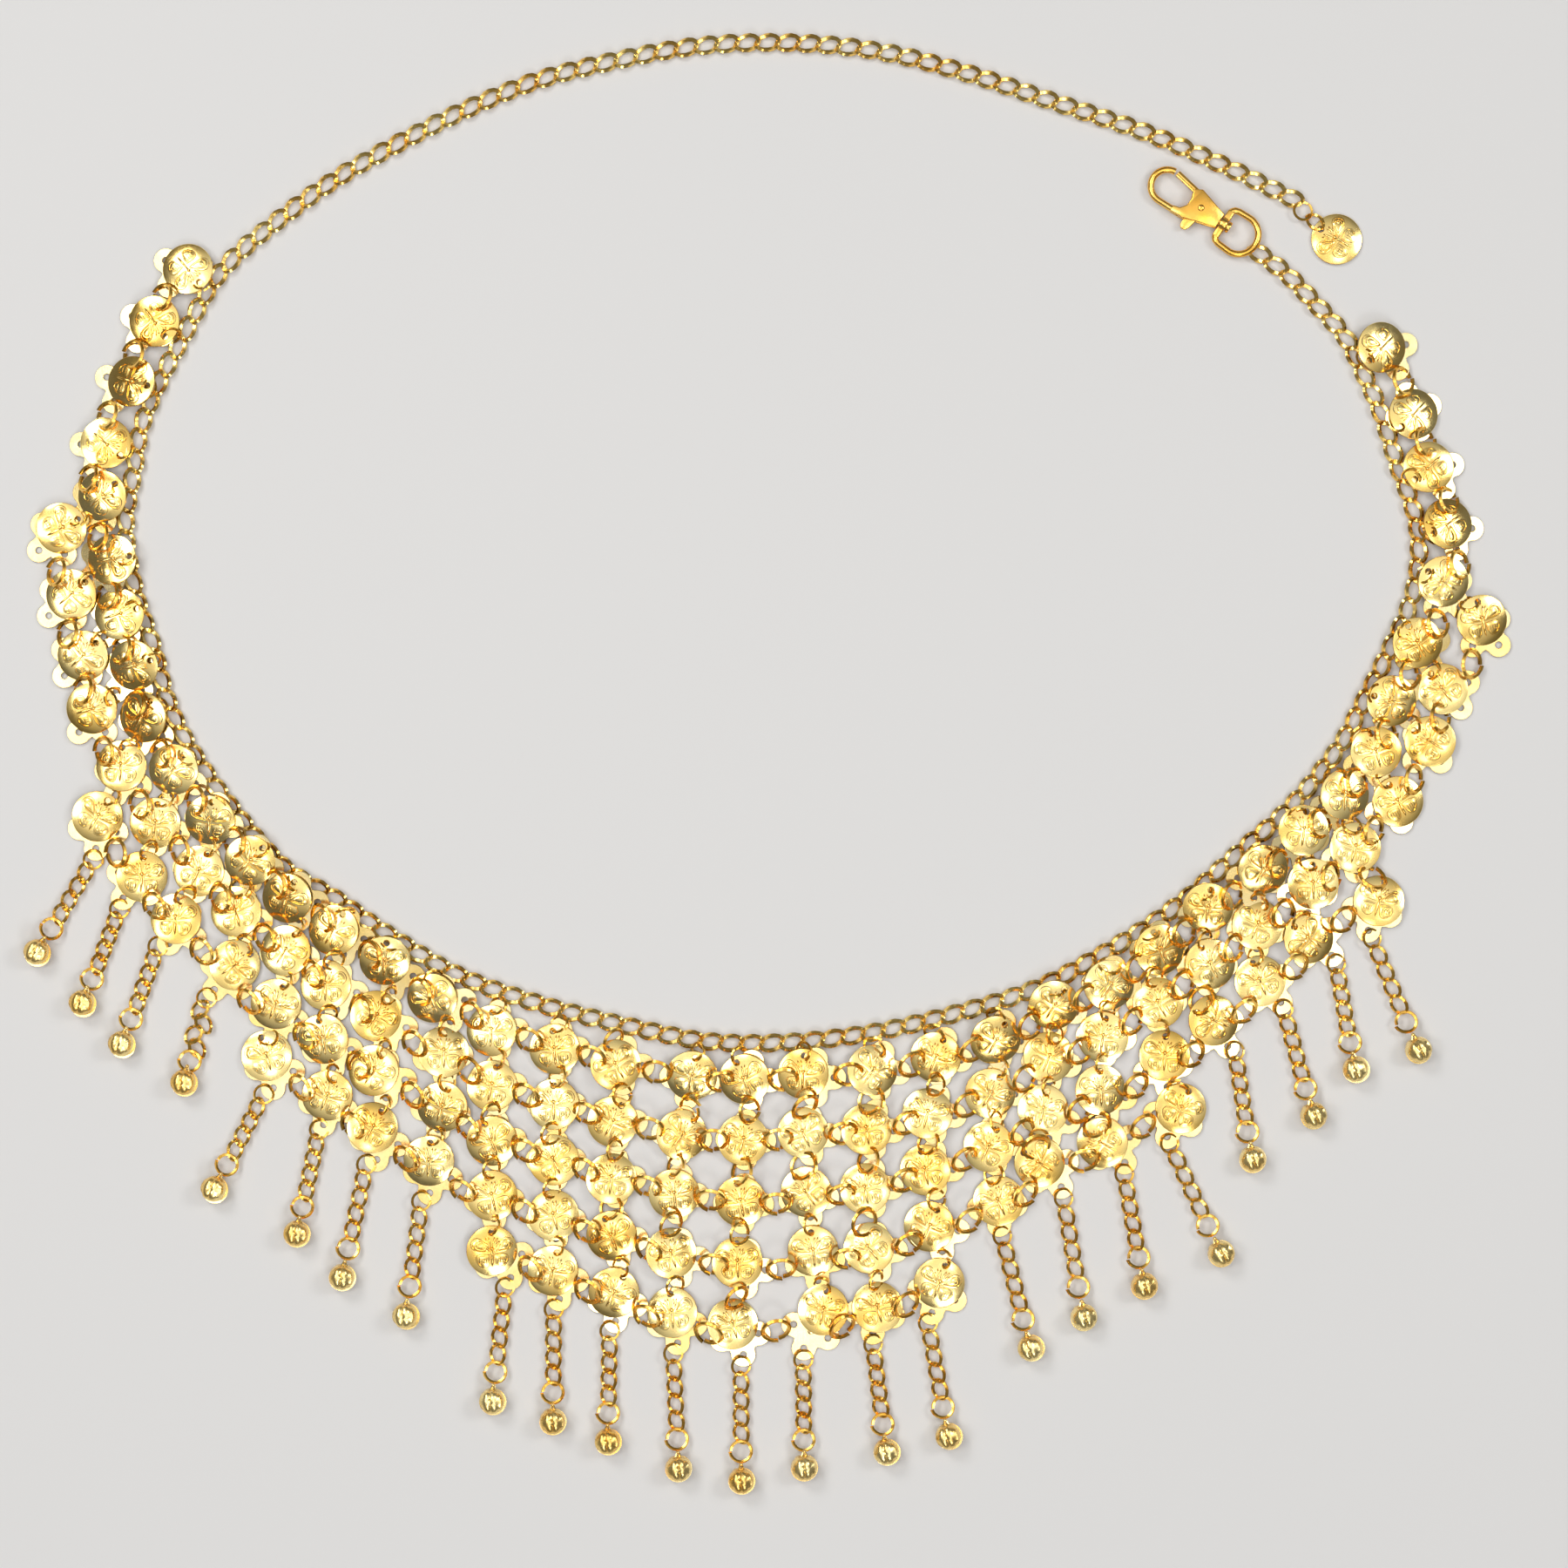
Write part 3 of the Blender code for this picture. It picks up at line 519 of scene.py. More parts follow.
def modelCoin(finish):
    disc = addCylinder(coin["sides"], coin["radius"], coin["thick"], (0, 0, coin["thick"] / 2))
    for side, insets in ((1, coin["faceInsets"]), (-1, coin["backInsets"])):
        pickFaces(disc, lambda face: face.normal.z * side > 0.9)
        for inset in insets:
            meshOps.inset(thickness=inset * mm)
        meshOps.poke()
        objectOps.mode_set(mode="OBJECT")
    drill(disc, coin["holeRadius"], (0, coin["holeAt"], 0))
    roundEdges(disc, coin["bevel"], 1, 50)
    whole = joinAll([disc] + wingShapes() + reliefBeads(), "coinMaster")
    for vertex in whole.data.vertices:
        flat = Vector((vertex.co.x, vertex.co.y)).length / (coin["radius"] * mm)
        vertex.co.z += coin["dome"] * mm * max(0.0, 1 - flat ** 3)
    smooth(whole, 32)
    return paint(whole, finish)


# the four-lobed plate behind it
plate = {"lobeAt": 5.5, "lobeRadius": 3.65, "lobeArc": 102, "lobePoints": 13, "valley": 5.35,
         "thick": 0.45, "holeRadius": 1.05, "bevel": 0.1, "dimple": (1.0, 1.0, 0.35)}


def plateOutline():
    points = []
    for quarter in range(4):
        lean = radians(90 * quarter)
        for degrees in np.linspace(-plate["lobeArc"], plate["lobeArc"], plate["lobePoints"]):
            a = radians(degrees)
            x = plate["lobeAt"] + plate["lobeRadius"] * cos(a)
            y = plate["lobeRadius"] * sin(a)
            points.append((x * cos(lean) - y * sin(lean),
                           x * sin(lean) + y * cos(lean)))
        between = radians(90 * quarter + 45)
        points.append((plate["valley"] * cos(between), plate["valley"] * sin(between)))
    return points


def modelPlate(finish):
    sheet = stampShape(plateOutline(), [])
    applyModifier(sheet, "SOLIDIFY", thickness=plate["thick"] * mm, offset=1)
    for quarter in range(4):
        turn = radians(90 * quarter)
        drill(sheet, plate["holeRadius"],
              (plate["lobeAt"] * cos(turn), plate["lobeAt"] * sin(turn), 0))
    roundEdges(sheet, plate["bevel"], 1, 50)
    dimple = addBead(plate["dimple"], (0, 0, plate["thick"]), 10, 6)
    whole = joinAll([sheet, dimple], "plateMaster")
    smooth(whole, 32)
    return paint(whole, finish)


# rings and links: radius or half length and half width at the wire's middle, and the wire's radius
wires = {"jump": {"radius": 2.75, "wire": 0.42}, "bell": {"radius": 3.05, "wire": 0.52},
         "curb": {"half": (3.5, 2.1), "wire": 0.71, "twist": 36.0, "flat": 0.84},
         "drop": {"half": (3.0, 2.0), "wire": 0.56, "twist": 36.0, "flat": 0.9}}
ringShape = {"sides": 18, "removed": 20, "gap": 2, "flare": 0.10, "flareEnd": 7, "sideStep": 0.9}
linkShape = {"sides": 16, "square": 2.3}


def modelOpenRing(name, sizes, finish):
    # a ring of wire with a cut, its two ends a little apart
    startClean()
    meshOps.primitive_torus_add(major_segments=ringShape["sides"],
                                     minor_segments=5,
                                     major_radius=sizes["radius"] * mm,
                                     minor_radius=sizes["wire"] * mm)
    ring = bpy.context.object
    ring.name = ring.data.name = name
    removed, gap = ringShape["removed"], ringShape["gap"]
    pickFaces(ring, lambda face: 0 < degrees(atan2(face.center.y, face.center.x)) < removed)
    meshOps.delete(type="FACE")
    meshOps.select_all(action="DESELECT")
    meshOps.select_mode(type="EDGE")
    meshOps.select_non_manifold()
    meshOps.fill_holes(sides=8)
    meshOps.normals_make_consistent(inside=False)
    objectOps.mode_set(mode="OBJECT")
    for vertex in ring.data.vertices:
        turn = (atan2(vertex.co.y, vertex.co.x) - radians(removed) + 1e-4) % (2 * pi)
        share = turn / radians(360 - removed)  # 0 at one cut end, 1 at the other
        turn = radians(gap) + share * radians(360 - 2 * gap)
        flare = ringShape["flare"] * max(0.0, 1 - share * ringShape["flareEnd"])
        around = vertex.co.xy.length * (1 + flare)
        vertex.co.xy = (around * cos(turn), around * sin(turn))
        vertex.co.z += ringShape["sideStep"] * sizes["wire"] * mm * (2 * share - 1) ** 3
    smooth(ring, 60)
    return paint(ring, finish)


def modelLink(name, sizes, finish):
    # a long link twisted so that the next one lies flat through it
    startClean()
    meshOps.primitive_torus_add(major_segments=linkShape["sides"],
                                     minor_segments=5, major_radius=mm,
                                     minor_radius=sizes["wire"] * mm)
    link = bpy.context.object
    link.name = link.data.name = name
    halfLength, halfWidth = sizes["half"]
    square = linkShape["square"]
    for vertex in link.data.vertices:
        x, y, z = vertex.co / mm
        around = hypot(x, y)
        cosine, sine = x / around, y / around
        squarer = (abs(cosine) ** square + abs(sine) ** square) ** (-1 / square)
        px = (halfLength * squarer + (around - 1)) * cosine
        py = (halfWidth * squarer + (around - 1)) * sine
        twist = radians(sizes["twist"]) * px / halfLength
        vertex.co = Vector((px, py * cos(twist) - z * sin(twist),
                            (py * sin(twist) + z * cos(twist)) * sizes["flat"])) * mm
    smooth(link, 60)
    return paint(link, finish)


# the bell at the end of a drop
bell = {"radius": 3.95, "segments": 28, "rings": 16, "fill": 0.96, "boxy": 3.2,
        "ribs": 2.3, "ribSlant": 0.15, "ribShift": 0.8, "ribDepth": 0.15,
        "rim": 4.05, "rimThick": 0.3, "rimAt": (0.2, -0.35, -0.7),
        "leg": (0.36, 1.9), "legAt": (0.42, 4.25, 0.5), "legSplay": 22,
        "knot": (0.62, 0.55, 0.75), "knotAt": (0, 4.95, 0.5)}


def modelBell(finish):
    # two pressed halves with dented facets, a crimped seam and a staple
    startClean()
    meshOps.primitive_uv_sphere_add(segments=bell["segments"], ring_count=bell["rings"],
                                         radius=bell["radius"] * mm)
    globe = bpy.context.object
    for vertex in globe.data.vertices:
        x, y, z = vertex.co / mm
        rise, boxy = abs(z) / bell["radius"], bell["boxy"]
        wave = 2 * pi * (x + bell["ribSlant"] * y) / bell["ribs"] + bell["ribShift"]
        crease = max(0.0, cos(wave)) ** 2
        fuller = (rise ** boxy + (1 - rise ** 2) ** (boxy / 2)) ** (-1 / boxy)
        vertex.co = Vector((x, y, z)) * (bell["fill"] * fuller - bell["ribDepth"] * crease * rise) * mm
    rim = addCylinder(bell["segments"], bell["rim"], bell["rimThick"], bell["rimAt"])
    staple = []
    for side in (1, -1):
        x, y, z = bell["legAt"]
        staple.append(addCylinder(6, *bell["leg"], (side * x, y, z),
                                  (radians(90), 0, radians(side * bell["legSplay"]))))
    knot = addBead(bell["knot"], bell["knotAt"])
    whole = joinAll([globe, rim, knot] + staple, "bellMaster")
    smooth(whole, 40)
    return paint(whole, finish)


# the net: how coins, plates and rings turn, tilt, lie and reach each other
net = {"table": -0.1, "top": 8.1,
       "coinTurn": 34.0, "coinTilt": 8.0, "coinLift": 0.75, "edgeShare": 0.9,
       "plateTilt": 3.0, "plateLift": 0.1, "plateRest": 0.3,
       "plateReach": 7.9, "plateMost": 2.2, "pullShare": 0.4, "pullRounds": 80,
       "slipped": {22: 6.5}, "sideSlip": 1.7, "slipStrands": range(13, 28), "hangReach": 3.3,
       "ringSpan": 5.5, "ringMost": 1.5, "ringWobble": 4, "ringTilt": 44.0,
       "ringTiltShares": (0.8, 1.2), "ringLow": 1.75, "ringLift": 1.2, "anchorShort": 1.6,
       "acrossTilt": (40, 50), "acrossLow": 1.0, "acrossLift": 0.8, "acrossLeast": 0.5}


def play(amount):
    return chance.uniform(-amount, amount)


def placeCopy(master, at, height, yDirection, tilt=0.0, tiltAcross=0.0, size=1.0):
    # the copy's own +Y points along yDirection; it leans about that line, then across it
    copy = master.copy()
    copy.data = master.data.copy()
    heading = atan2(yDirection[1], yDirection[0]) - pi / 2
    copy.data.transform(Matrix.Translation((at[0] * mm, at[1] * mm, height * mm))
                        @ Matrix.Rotation(heading, 4, "Z")
                        @ Matrix.Rotation(radians(tilt), 4, "Y")
                        @ Matrix.Rotation(radians(tiltAcross), 4, "X")
                        @ Matrix.Scale(size, 4))
    bpy.context.scene.collection.objects.link(copy)
    return liftClear(copy)


def liftClear(copy):
    # nothing stands above the bells or sinks into the table
    heights = [vertex.co.z / mm for vertex in copy.data.vertices]
    drop = max(max(heights) - net["top"], 0)
    rise = max(net["table"] - min(heights) + drop, 0)
    if drop or rise:
        copy.data.transform(Matrix.Translation((0, 0, (rise - drop) * mm)))
    return copy


def leanOnto(copy, lie, at, height):
    # tip a copy about its own middle so that it follows the chain beneath it
    if lie.slope:
        axis = Vector((-lie.uphill[1], lie.uphill[0], 0))
        middle = Vector((at[0] * mm, at[1] * mm, height * mm))
        copy.data.transform(Matrix.Translation(middle)
                            @ Matrix.Rotation(-atan(lie.slope), 4, axis)
                            @ Matrix.Translation(-middle))
    return liftClear(copy)


def linkRing(masters, fromPoint, toPoint, height, tilt):
    # a jump ring whose wire passes through both points, a little larger where they are far apart
    middle = (fromPoint + toPoint) / 2
    size = min(max(np.linalg.norm(toPoint - fromPoint) / net["ringSpan"], 1.0), net["ringMost"])
    return placeCopy(masters["jump"], middle, height, unit(toPoint - fromPoint), tilt,
                     play(net["ringWobble"]), size)


def strandAxis(centres, index, anchor, hang):
    before = centres[index - 1] if index else centres[0]
    if index + 1 < len(centres):
        return unit(centres[index + 1] - before)
    if hang is not None:
        return unit(hang - centres[index])
    return unit(centres[index] - (centres[index - 1] if index else anchor))


def layoutNet(route):
    rows = []
    for number, (strand, centres) in enumerate(zip(strandTable, settledStrands()), 1):
        slip = net["sideSlip"] if number in net["slipStrands"] else 0.0
        anchor = route.nearest(centres[0])
        hang = spot(strand.hang) if strand.hang else None
        axes = [strandAxis(centres, i, anchor, hang) for i in range(len(centres))]
        lies = [Lie(centre, route) for centre in centres]
        plates = [centre + axis * layout["plateShift"] + leftOf(axis) * slip
                  for centre, axis in zip(centres, axes)]
        holes = [turned(-axis, play(net["coinTurn"])) for axis in axes]
        rows.append({"centres": centres, "axes": axes, "lies": lies, "plates": plates,
                     "holes": holes, "anchor": anchor, "hang": hang, "strand": strand})
    pullPlates(rows)
    return rows


def platePairs(rows, k, i):
    # the plates below and beside a plate, and the way their two lobes point
    row, pairs = rows[k], []
    if i + 1 < len(row["plates"]):
        pairs.append((row, i + 1, row["axes"][i], row["axes"][i + 1]))
    if k + 1 < len(rows) and i < len(rows[k + 1]["plates"]):
        pairs.append((rows[k + 1], i, leftOf(row["axes"][i]), leftOf(rows[k + 1]["axes"][i])))
    return pairs


def pullPair(row, i, other, j, outward, inward):
    gap = (other["plates"][j] - inward * plate["lobeAt"]
           - row["plates"][i] - outward * plate["lobeAt"])
    size = np.linalg.norm(gap)
    if size > net["plateReach"]:
        pull = gap * (size - net["plateReach"]) / size * net["pullShare"]
        row["plates"][i] = row["plates"][i] + pull
        other["plates"][j] = other["plates"][j] - pull


def holdPlates(number, row, homes):
    # the last plate reaches its drop, and no plate slips far from its coin
    if row["hang"] is not None:
        gap = row["hang"] - row["plates"][-1] - row["axes"][-1] * plate["lobeAt"]
        size = np.linalg.norm(gap)
        if size > net["hangReach"]:
            row["plates"][-1] = row["plates"][-1] + gap * (1 - net["hangReach"] / size)
    for i, start in enumerate(homes):
        off = row["plates"][i] - start
        size = np.linalg.norm(off)
        last = i == len(homes) - 1
        limit = net["slipped"].get(number, net["plateMost"]) if last else net["plateMost"]
        if size > limit:
            row["plates"][i] = start + off * limit / size


def pullPlates(rows):
    # plates shift a little under their coins until the rings between them reach
    home = [[np.array(at) for at in row["plates"]] for row in rows]
    for _ in range(net["pullRounds"]):
        for k, row in enumerate(rows):
            for i in range(len(row["plates"])):
                for pair in platePairs(rows, k, i):
                    pullPair(row, i, *pair)
        for number, (row, homes) in enumerate(zip(rows, home), 1):
            holdPlates(number, row, homes)


# a drop: jump ring, links, bell ring and bell, closer together where the photo's drop is short
drop = {"length": 32.2, "links": 4, "pitch": 4.8, "ringAt": 24.2,
        "short": 0.85, "zigzag": 1.1, "zigzagTurn": 36,
        "jumpHeight": 1.3, "jumpTilt": (12, 24), "linkHeight": 1.25, "linkTurn": (8, 18),
        "ringHeight": 2.2, "ringTilt": 6, "ringDip": 12,
        "bellHeight": 4.05, "bellTilt": 10, "bellDip": 4}


def buildDrop(masters, row):
    hang, end = row["hang"], spot(row["strand"].bell)
    hole = row["plates"][-1] + row["axes"][-1] * plate["lobeAt"]
    if np.linalg.norm(hang - hole) > net["hangReach"]:
        hang = hole + unit(hang - hole) * net["hangReach"]
    along = unit(end - hang)
    reach = np.linalg.norm(end - hang) / drop["length"]
    bunched = 1.0 if reach < drop["short"] else 0.0  # the links of a short drop lie in a zigzag
    copies = [placeCopy(masters["jump"], hang, drop["jumpHeight"], -along,
                        chance.uniform(*drop["jumpTilt"]),
                        play(net["ringWobble"]))]
    for index in range(drop["links"]):
        side = bunched * (1 if index % 2 else -1)
        at = hang + along * drop["pitch"] * (index + 1) * reach + leftOf(along) * side * drop["zigzag"]
        turn = chance.uniform(*drop["linkTurn"]) + drop["zigzagTurn"] * side
        copies.append(placeCopy(masters["drop"], at, drop["linkHeight"], turned(leftOf(along), turn)))
    copies.append(placeCopy(masters["bellRing"], hang + along * drop["ringAt"] * reach,
                            drop["ringHeight"], along, play(drop["ringTilt"]), drop["ringDip"]))
    copies.append(placeCopy(masters["bell"], end, drop["bellHeight"], -along,
                            play(drop["bellTilt"]), drop["bellDip"]))
    return copies


def placeCoin(masters, row, i):
    centre, lie = row["centres"][i], row["lies"][i]
    tilt = play(net["coinTilt"])
    across = play(net["coinTilt"])
    edge = coin["radius"] * sin(radians(max(abs(tilt), abs(across)))) * net["edgeShare"]
    lift = lie.height(centre) + net["coinLift"] + edge
    copy = placeCopy(masters["coin"], centre, lift, row["holes"][i], tilt, across)
    return leanOnto(copy, lie, centre, lift)


def placePlate(masters, row, i):
    at, lie = row["plates"][i], row["lies"][i]
    lift = lie.height(at) + net["plateLift"] + net["plateRest"]
    copy = placeCopy(masters["plate"], at, lift, row["axes"][i],
                     chance.uniform(-1, 1) * net["plateTilt"],
                     chance.uniform(-1, 1) * net["plateTilt"])
    return leanOnto(copy, lie, at, lift)


def placeUpRing(masters, row, i):
    # from the coin's hole to the lobe above it, or to the chain
    centre, lie = row["centres"][i], row["lies"][i]
    start = centre + row["holes"][i] * coin["holeAt"]
    if i:
        above = row["plates"][i - 1] + row["axes"][i - 1] * plate["lobeAt"]
    else:
        above = row["anchor"] - unit(row["anchor"] - centre) * net["anchorShort"]
    span = np.linalg.norm(above - start)
    most = net["ringSpan"] * net["ringMost"]
    if span > most:
        above = start + (above - start) * most / span
    return linkRing(masters, start, above, max(net["ringLow"], lie.height(start) + net["ringLift"]),
                    chance.choice((-1, 1)) * net["ringTilt"] * chance.uniform(*net["ringTiltShares"]))


def placeAcrossRing(masters, row, nextRow, i):
    # from a plate's side lobe to the next strand's, unless their holes lie together
    fromHole = row["plates"][i] + leftOf(row["axes"][i]) * plate["lobeAt"]
    toHole = nextRow["plates"][i] - leftOf(nextRow["axes"][i]) * plate["lobeAt"]
    if np.linalg.norm(toHole - fromHole) <= net["acrossLeast"]:
        return []
    rest = (row["lies"][i].height(fromHole) + nextRow["lies"][i].height(toHole)) / 2
    height = max(net["acrossLow"], rest + net["acrossLift"])
    return [linkRing(masters, fromHole, toHole, height, chance.uniform(*net["acrossTilt"]))]


def buildStrand(number, rows, masters):
    row, copies = rows[number - 1], []
    for i in range(len(row["centres"])):
        for place in (placeCoin, placePlate, placeUpRing):
            copies.append(place(masters, row, i))
        if number < len(rows) and i < len(rows[number]["centres"]):
            copies += placeAcrossRing(masters, row, rows[number], i)
    if row["hang"] is not None:
        copies += buildDrop(masters, row)
    return joinAll(copies, f"coinStrand.{number:02d}")


# the waist chain's links on its route, and the coin at its end
chainLie = {"height": 1.12, "turn": 14.0, "turnPlay": 3, "tiltPlay": 2}
endPixels = {"coin": (1534, 275), "link": (1509, 255), "ring": (1495, 243)}


def buildChainStretch(number, route, masters):
    # the first link reaches the swivel ring, and the last one the end ring
    pitch = (route.length + layout["startEarly"] + layout["endLate"]) / layout["links"]
    each = layout["links"] // layout["stretches"]
    copies = []
    for index in range((number - 1) * each, number * each):
        distance = (index + 0.5) * pitch - layout["startEarly"]
        turn = chainLie["turn"] + play(chainLie["turnPlay"])
        direction = turned(route.direction(distance), turn)
        copies.append(placeCopy(masters["curb"], route.point(distance), chainLie["height"],
                                leftOf(direction),
                                play(chainLie["tiltPlay"]), 0))
    return joinAll(copies, f"curbChain.{number:02d}")


def buildEndCoin(masters):
    centre, link, ring = (spot(endPixels[name]) for name in ("coin", "link", "ring"))
    towards = unit(ring - centre)
    copies = [placeCopy(masters["coin"], centre, 0.35, turned(towards, 8), 2, -1),
              placeCopy(masters["drop"], link, 1.1, leftOf(towards), 8, 0, 0.95),
              placeCopy(masters["jump"], ring, 1.4, towards, 16, 0)]
    return joinAll(copies, "endCoinAndRing")


# the swivel hook, drawn with its length along x from the swivel ring's middle
hook = {"centre": (1421, 270), "turn": 146.0, "height": 2.1,
        "noseStart": [(17.4, 4.3), (21.5, 4.85)], "noseRadius": 4.95, "noseAt": 25.6,
        "noseArc": (90, -85, 26), "wire": 1.02,
        "wall": [(6.8, -2.3), (16.2, -4.9), (18.6, -3.5), (17.6, -0.9), (17.7, 1.6), (19.0, 3.4),
                 (21.0, 3.9), (21.0, 5.75), (16.6, 5.5), (13.0, 4.2), (6.8, 2.3)],
        "wallInner": 1.0, "wallOuter": 1.95, "wallBevel": 0.3,
        "blocks": ([(7.0, -2.0), (9.6, -2.6), (9.6, 2.8), (7.0, 2.0)],
                   [(16.8, 2.9), (18.9, 2.9), (18.9, 5.4), (16.8, 5.5)]),
        "blockHalf": 1.3, "blockBevel": 0.2,
        "post": {"radius": 1.1, "length": 4.6, "at": 5.8},
        "head": {"radius": 1.8, "length": 1.1, "at": 3.65, "bevel": 0.35},
        "pin": {"radius": 0.8, "length": 4.1, "at": 13.7}, "rivet": (1.0, 1.0, 0.35)}
swivelRing = {"radius": 5.9, "band": 1.02, "arc": (95, 265, 20), "bar": 5.5,
              "corner": [(0, 3.6), (0.1, 4.6), (0.7, 5.3), (1.9, 5.7)],
              "straight": [(6.55, -4.6), (6.55, 4.6), (4.4, 4.6), (4.4, -4.6)], "straightBevel": 0.4,
              "sides": 20, "bossRadius": 2.1, "bossLength": 2.0, "bossBevel": 0.25,
              "boreRadius": 1.4, "boreLength": 6}
lever = {"outline": [(14.0, 7.8), (13.4, 6.9), (12.2, 1.6), (11.8, -1.4), (14.6, -4.0), (24.9, -5.8),
                     (25.4, -4.0), (16.8, -2.6), (15.9, 0.8), (16.3, 6.6), (15.9, 7.7), (15.0, 8.2)],
         "half": 0.7, "bevel": 0.25, "bore": 1.1,
         "gate": [(17.0, -3.6), (25.2, -4.95)], "gateRadius": 0.92}
alongHook = (0, radians(90), 0)  # turns an upright cylinder to lie along x


def hookPlace():
    centre = spot(hook["centre"])
    return (Matrix.Translation((centre[0] * mm, centre[1] * mm, hook["height"] * mm))
            @ Matrix.Rotation(radians(hook["turn"]), 4, "Z"))


def sweep(path, radius, sides):
    # a round rod drawn along a flat path by extruding its end ring step by step
    startClean()
    first = Vector((*path[0], 0)) * mm
    ahead = (Vector((*path[1], 0)) * mm - first).normalized()
    turn = ahead.to_track_quat("Z", "Y").to_euler()
    meshOps.primitive_circle_add(vertices=sides, radius=radius * mm, fill_type="NGON",
                                      location=first, rotation=turn)
    rod = bpy.context.object
    bpy.context.view_layer.update()
    settlePlace(rod)
    pickFaces(rod, lambda face: True)
    for index in range(1, len(path)):
        here, before = Vector((*path[index], 0)) * mm, Vector((*path[index - 1], 0)) * mm
        meshOps.extrude_region_move(TRANSFORM_OT_translate={"value": here - before})
        after = Vector((*path[min(index + 1, len(path) - 1)], 0)) * mm
        into, outOf = (here - before).normalized(), (after - here)
        outOf = outOf.normalized() if outOf.length > 1e-9 else into
        newAhead = (into + outOf).normalized()
        bend = ahead.to_2d().angle_signed(newAhead.to_2d())
        bpy.ops.transform.rotate(value=bend, orient_axis="Z", center_override=here)
        ahead = newAhead
    meshOps.select_all(action="SELECT")
    meshOps.normals_make_consistent(inside=False)
    objectOps.mode_set(mode="OBJECT")
    return rod


def arcPath(radius, first, last, steps, centre=(0.0, 0.0)):
    return [(centre[0] + radius * cos(a), centre[1] + radius * sin(a))
            for a in np.radians(np.linspace(first, last, steps + 1))]


def modelPlank(outline, low, high, bevel):
    # a flat piece with its outline rounded off all round
    obj = stampShape(outline, [])
    applyModifier(obj, "SOLIDIFY", thickness=(high - low) * mm, offset=1)
    for vertex in obj.data.vertices:
        vertex.co.z += low * mm
    roundEdges(obj, bevel, 3, 40)
    return obj


def finishClasp(parts, name, material, body, node):
    piece = joinAll(parts, name)
    piece.data.transform(hookPlace())
    smooth(piece, 38)
    paint(piece, material)
    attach(piece, body)
    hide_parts(node)
    return piece


def buildSwivelRing(material):
    bar, band, sides = swivelRing["bar"], swivelRing["band"], swivelRing["sides"]
    corner = [(bar - back, y) for back, y in swivelRing["corner"]]
    bow = sweep(corner + arcPath(swivelRing["radius"], *swivelRing["arc"])
                + [(x, -y) for x, y in corner[::-1]], band, 12)
    straight = modelPlank(swivelRing["straight"], -band, band, swivelRing["straightBevel"])
    boss = addCylinder(sides, swivelRing["bossRadius"], swivelRing["bossLength"], (bar, 0, 0),
                       alongHook)
    roundEdges(boss, swivelRing["bossBevel"], 2, 40)
    for part in (straight, boss):
        cutWith(part, addCylinder(sides, swivelRing["boreRadius"], swivelRing["boreLength"],
                                  (bar, 0, 0), alongHook))
    return finishClasp([bow, straight, boss], "swivelDRing", material, "belt", "swivel_ring")


def hookRod(sizes, turn=(0, 0, 0)):
    return addCylinder(16, sizes["radius"], sizes["length"], (sizes["at"], 0, 0), turn)


def buildHookBody(material):
    inner, outer, half = hook["wallInner"], hook["wallOuter"], hook["blockHalf"]
    walls = [modelPlank(hook["wall"], *sides, hook["wallBevel"])
             for sides in ((inner, outer), (-outer, -inner))]
    blocks = [modelPlank(outline, -half, half, hook["blockBevel"]) for outline in hook["blocks"]]
    bend = arcPath(hook["noseRadius"], *hook["noseArc"], (hook["noseAt"], 0))
    nose = sweep(hook["noseStart"] + bend, hook["wire"], 14)
    post, head = hookRod(hook["post"], alongHook), hookRod(hook["head"], alongHook)
    roundEdges(head, hook["head"]["bevel"], 2, 40)
    pin = hookRod(hook["pin"])
    rivet = addBead(hook["rivet"], (hook["pin"]["at"], 0, outer), 14, 8)
    return finishClasp(walls + blocks + [nose, post, head, pin, rivet],
                       "snapHookBody", material, "hook", "hook_body")


def buildLever(material):
    blade = modelPlank(lever["outline"], -lever["half"], lever["half"], lever["bevel"])
    drill(blade, lever["bore"], (hook["pin"]["at"], 0, 0), 16)
    gate = sweep(lever["gate"], lever["gateRadius"], 12)
    return finishClasp([blade, gate], "gateLever", material, "lever", "hook_lever")


# floor, light and camera; each softbox has its place and size in metres and its power
studio = {"floor": (0.66, 0.65, 0.635), "floorSize": 6, "floorRough": 0.9, "floorHeight": -0.0002,
          "worldStrength": 1.1, "skyLow": (0.22, 0.22, 0.23),
          "skyStops": ((0.35, 0.15), (0.72, 0.11), (0.89, 0.58), (0.97, 0.98)),
          "cameraPixel": (900, 900), "cameraHeight": 1300.0, "view": 468.0, "sensor": 36,
          "softboxes": [((-0.30, 0.28, 1.6), 0.32, 1.8), ((0.42, -0.12, 1.6), 0.26, 1.1),
                        ((-0.1, -0.5, 1.5), 0.24, 0.9), ((-0.7, 0.8, 1.3), 0.5, 7.0),
                        ((1.0, 0.3, 1.2), 0.45, 5.0), ((0.3, -1.1, 1.3), 0.45, 4.5),
                        ((-0.8, -0.05, 1.3), 0.45, 4.0)]}


def setFloor():
    startClean()
    meshOps.primitive_plane_add(size=studio["floorSize"])
    floor = bpy.context.object
    floor.name = "floor"
    material = bpy.data.materials.new("paleFloor")
    material.use_nodes = True
    shader = material.node_tree.nodes["Principled BSDF"]
    fill(shader, {"Base Color": (*studio["floor"], 1), "Roughness": studio["floorRough"]})
    floor.data.materials.append(material)
    floor.location.z = studio["floorHeight"]


def addSoftbox(at, size, power):
    startClean()
    objectOps.light_add(type="AREA", location=at)
    lamp = bpy.context.object
    lamp.data.size = size
    lamp.data.energy = power
    lamp.rotation_euler = (-Vector(at)).to_track_quat("-Z", "Y").to_euler()


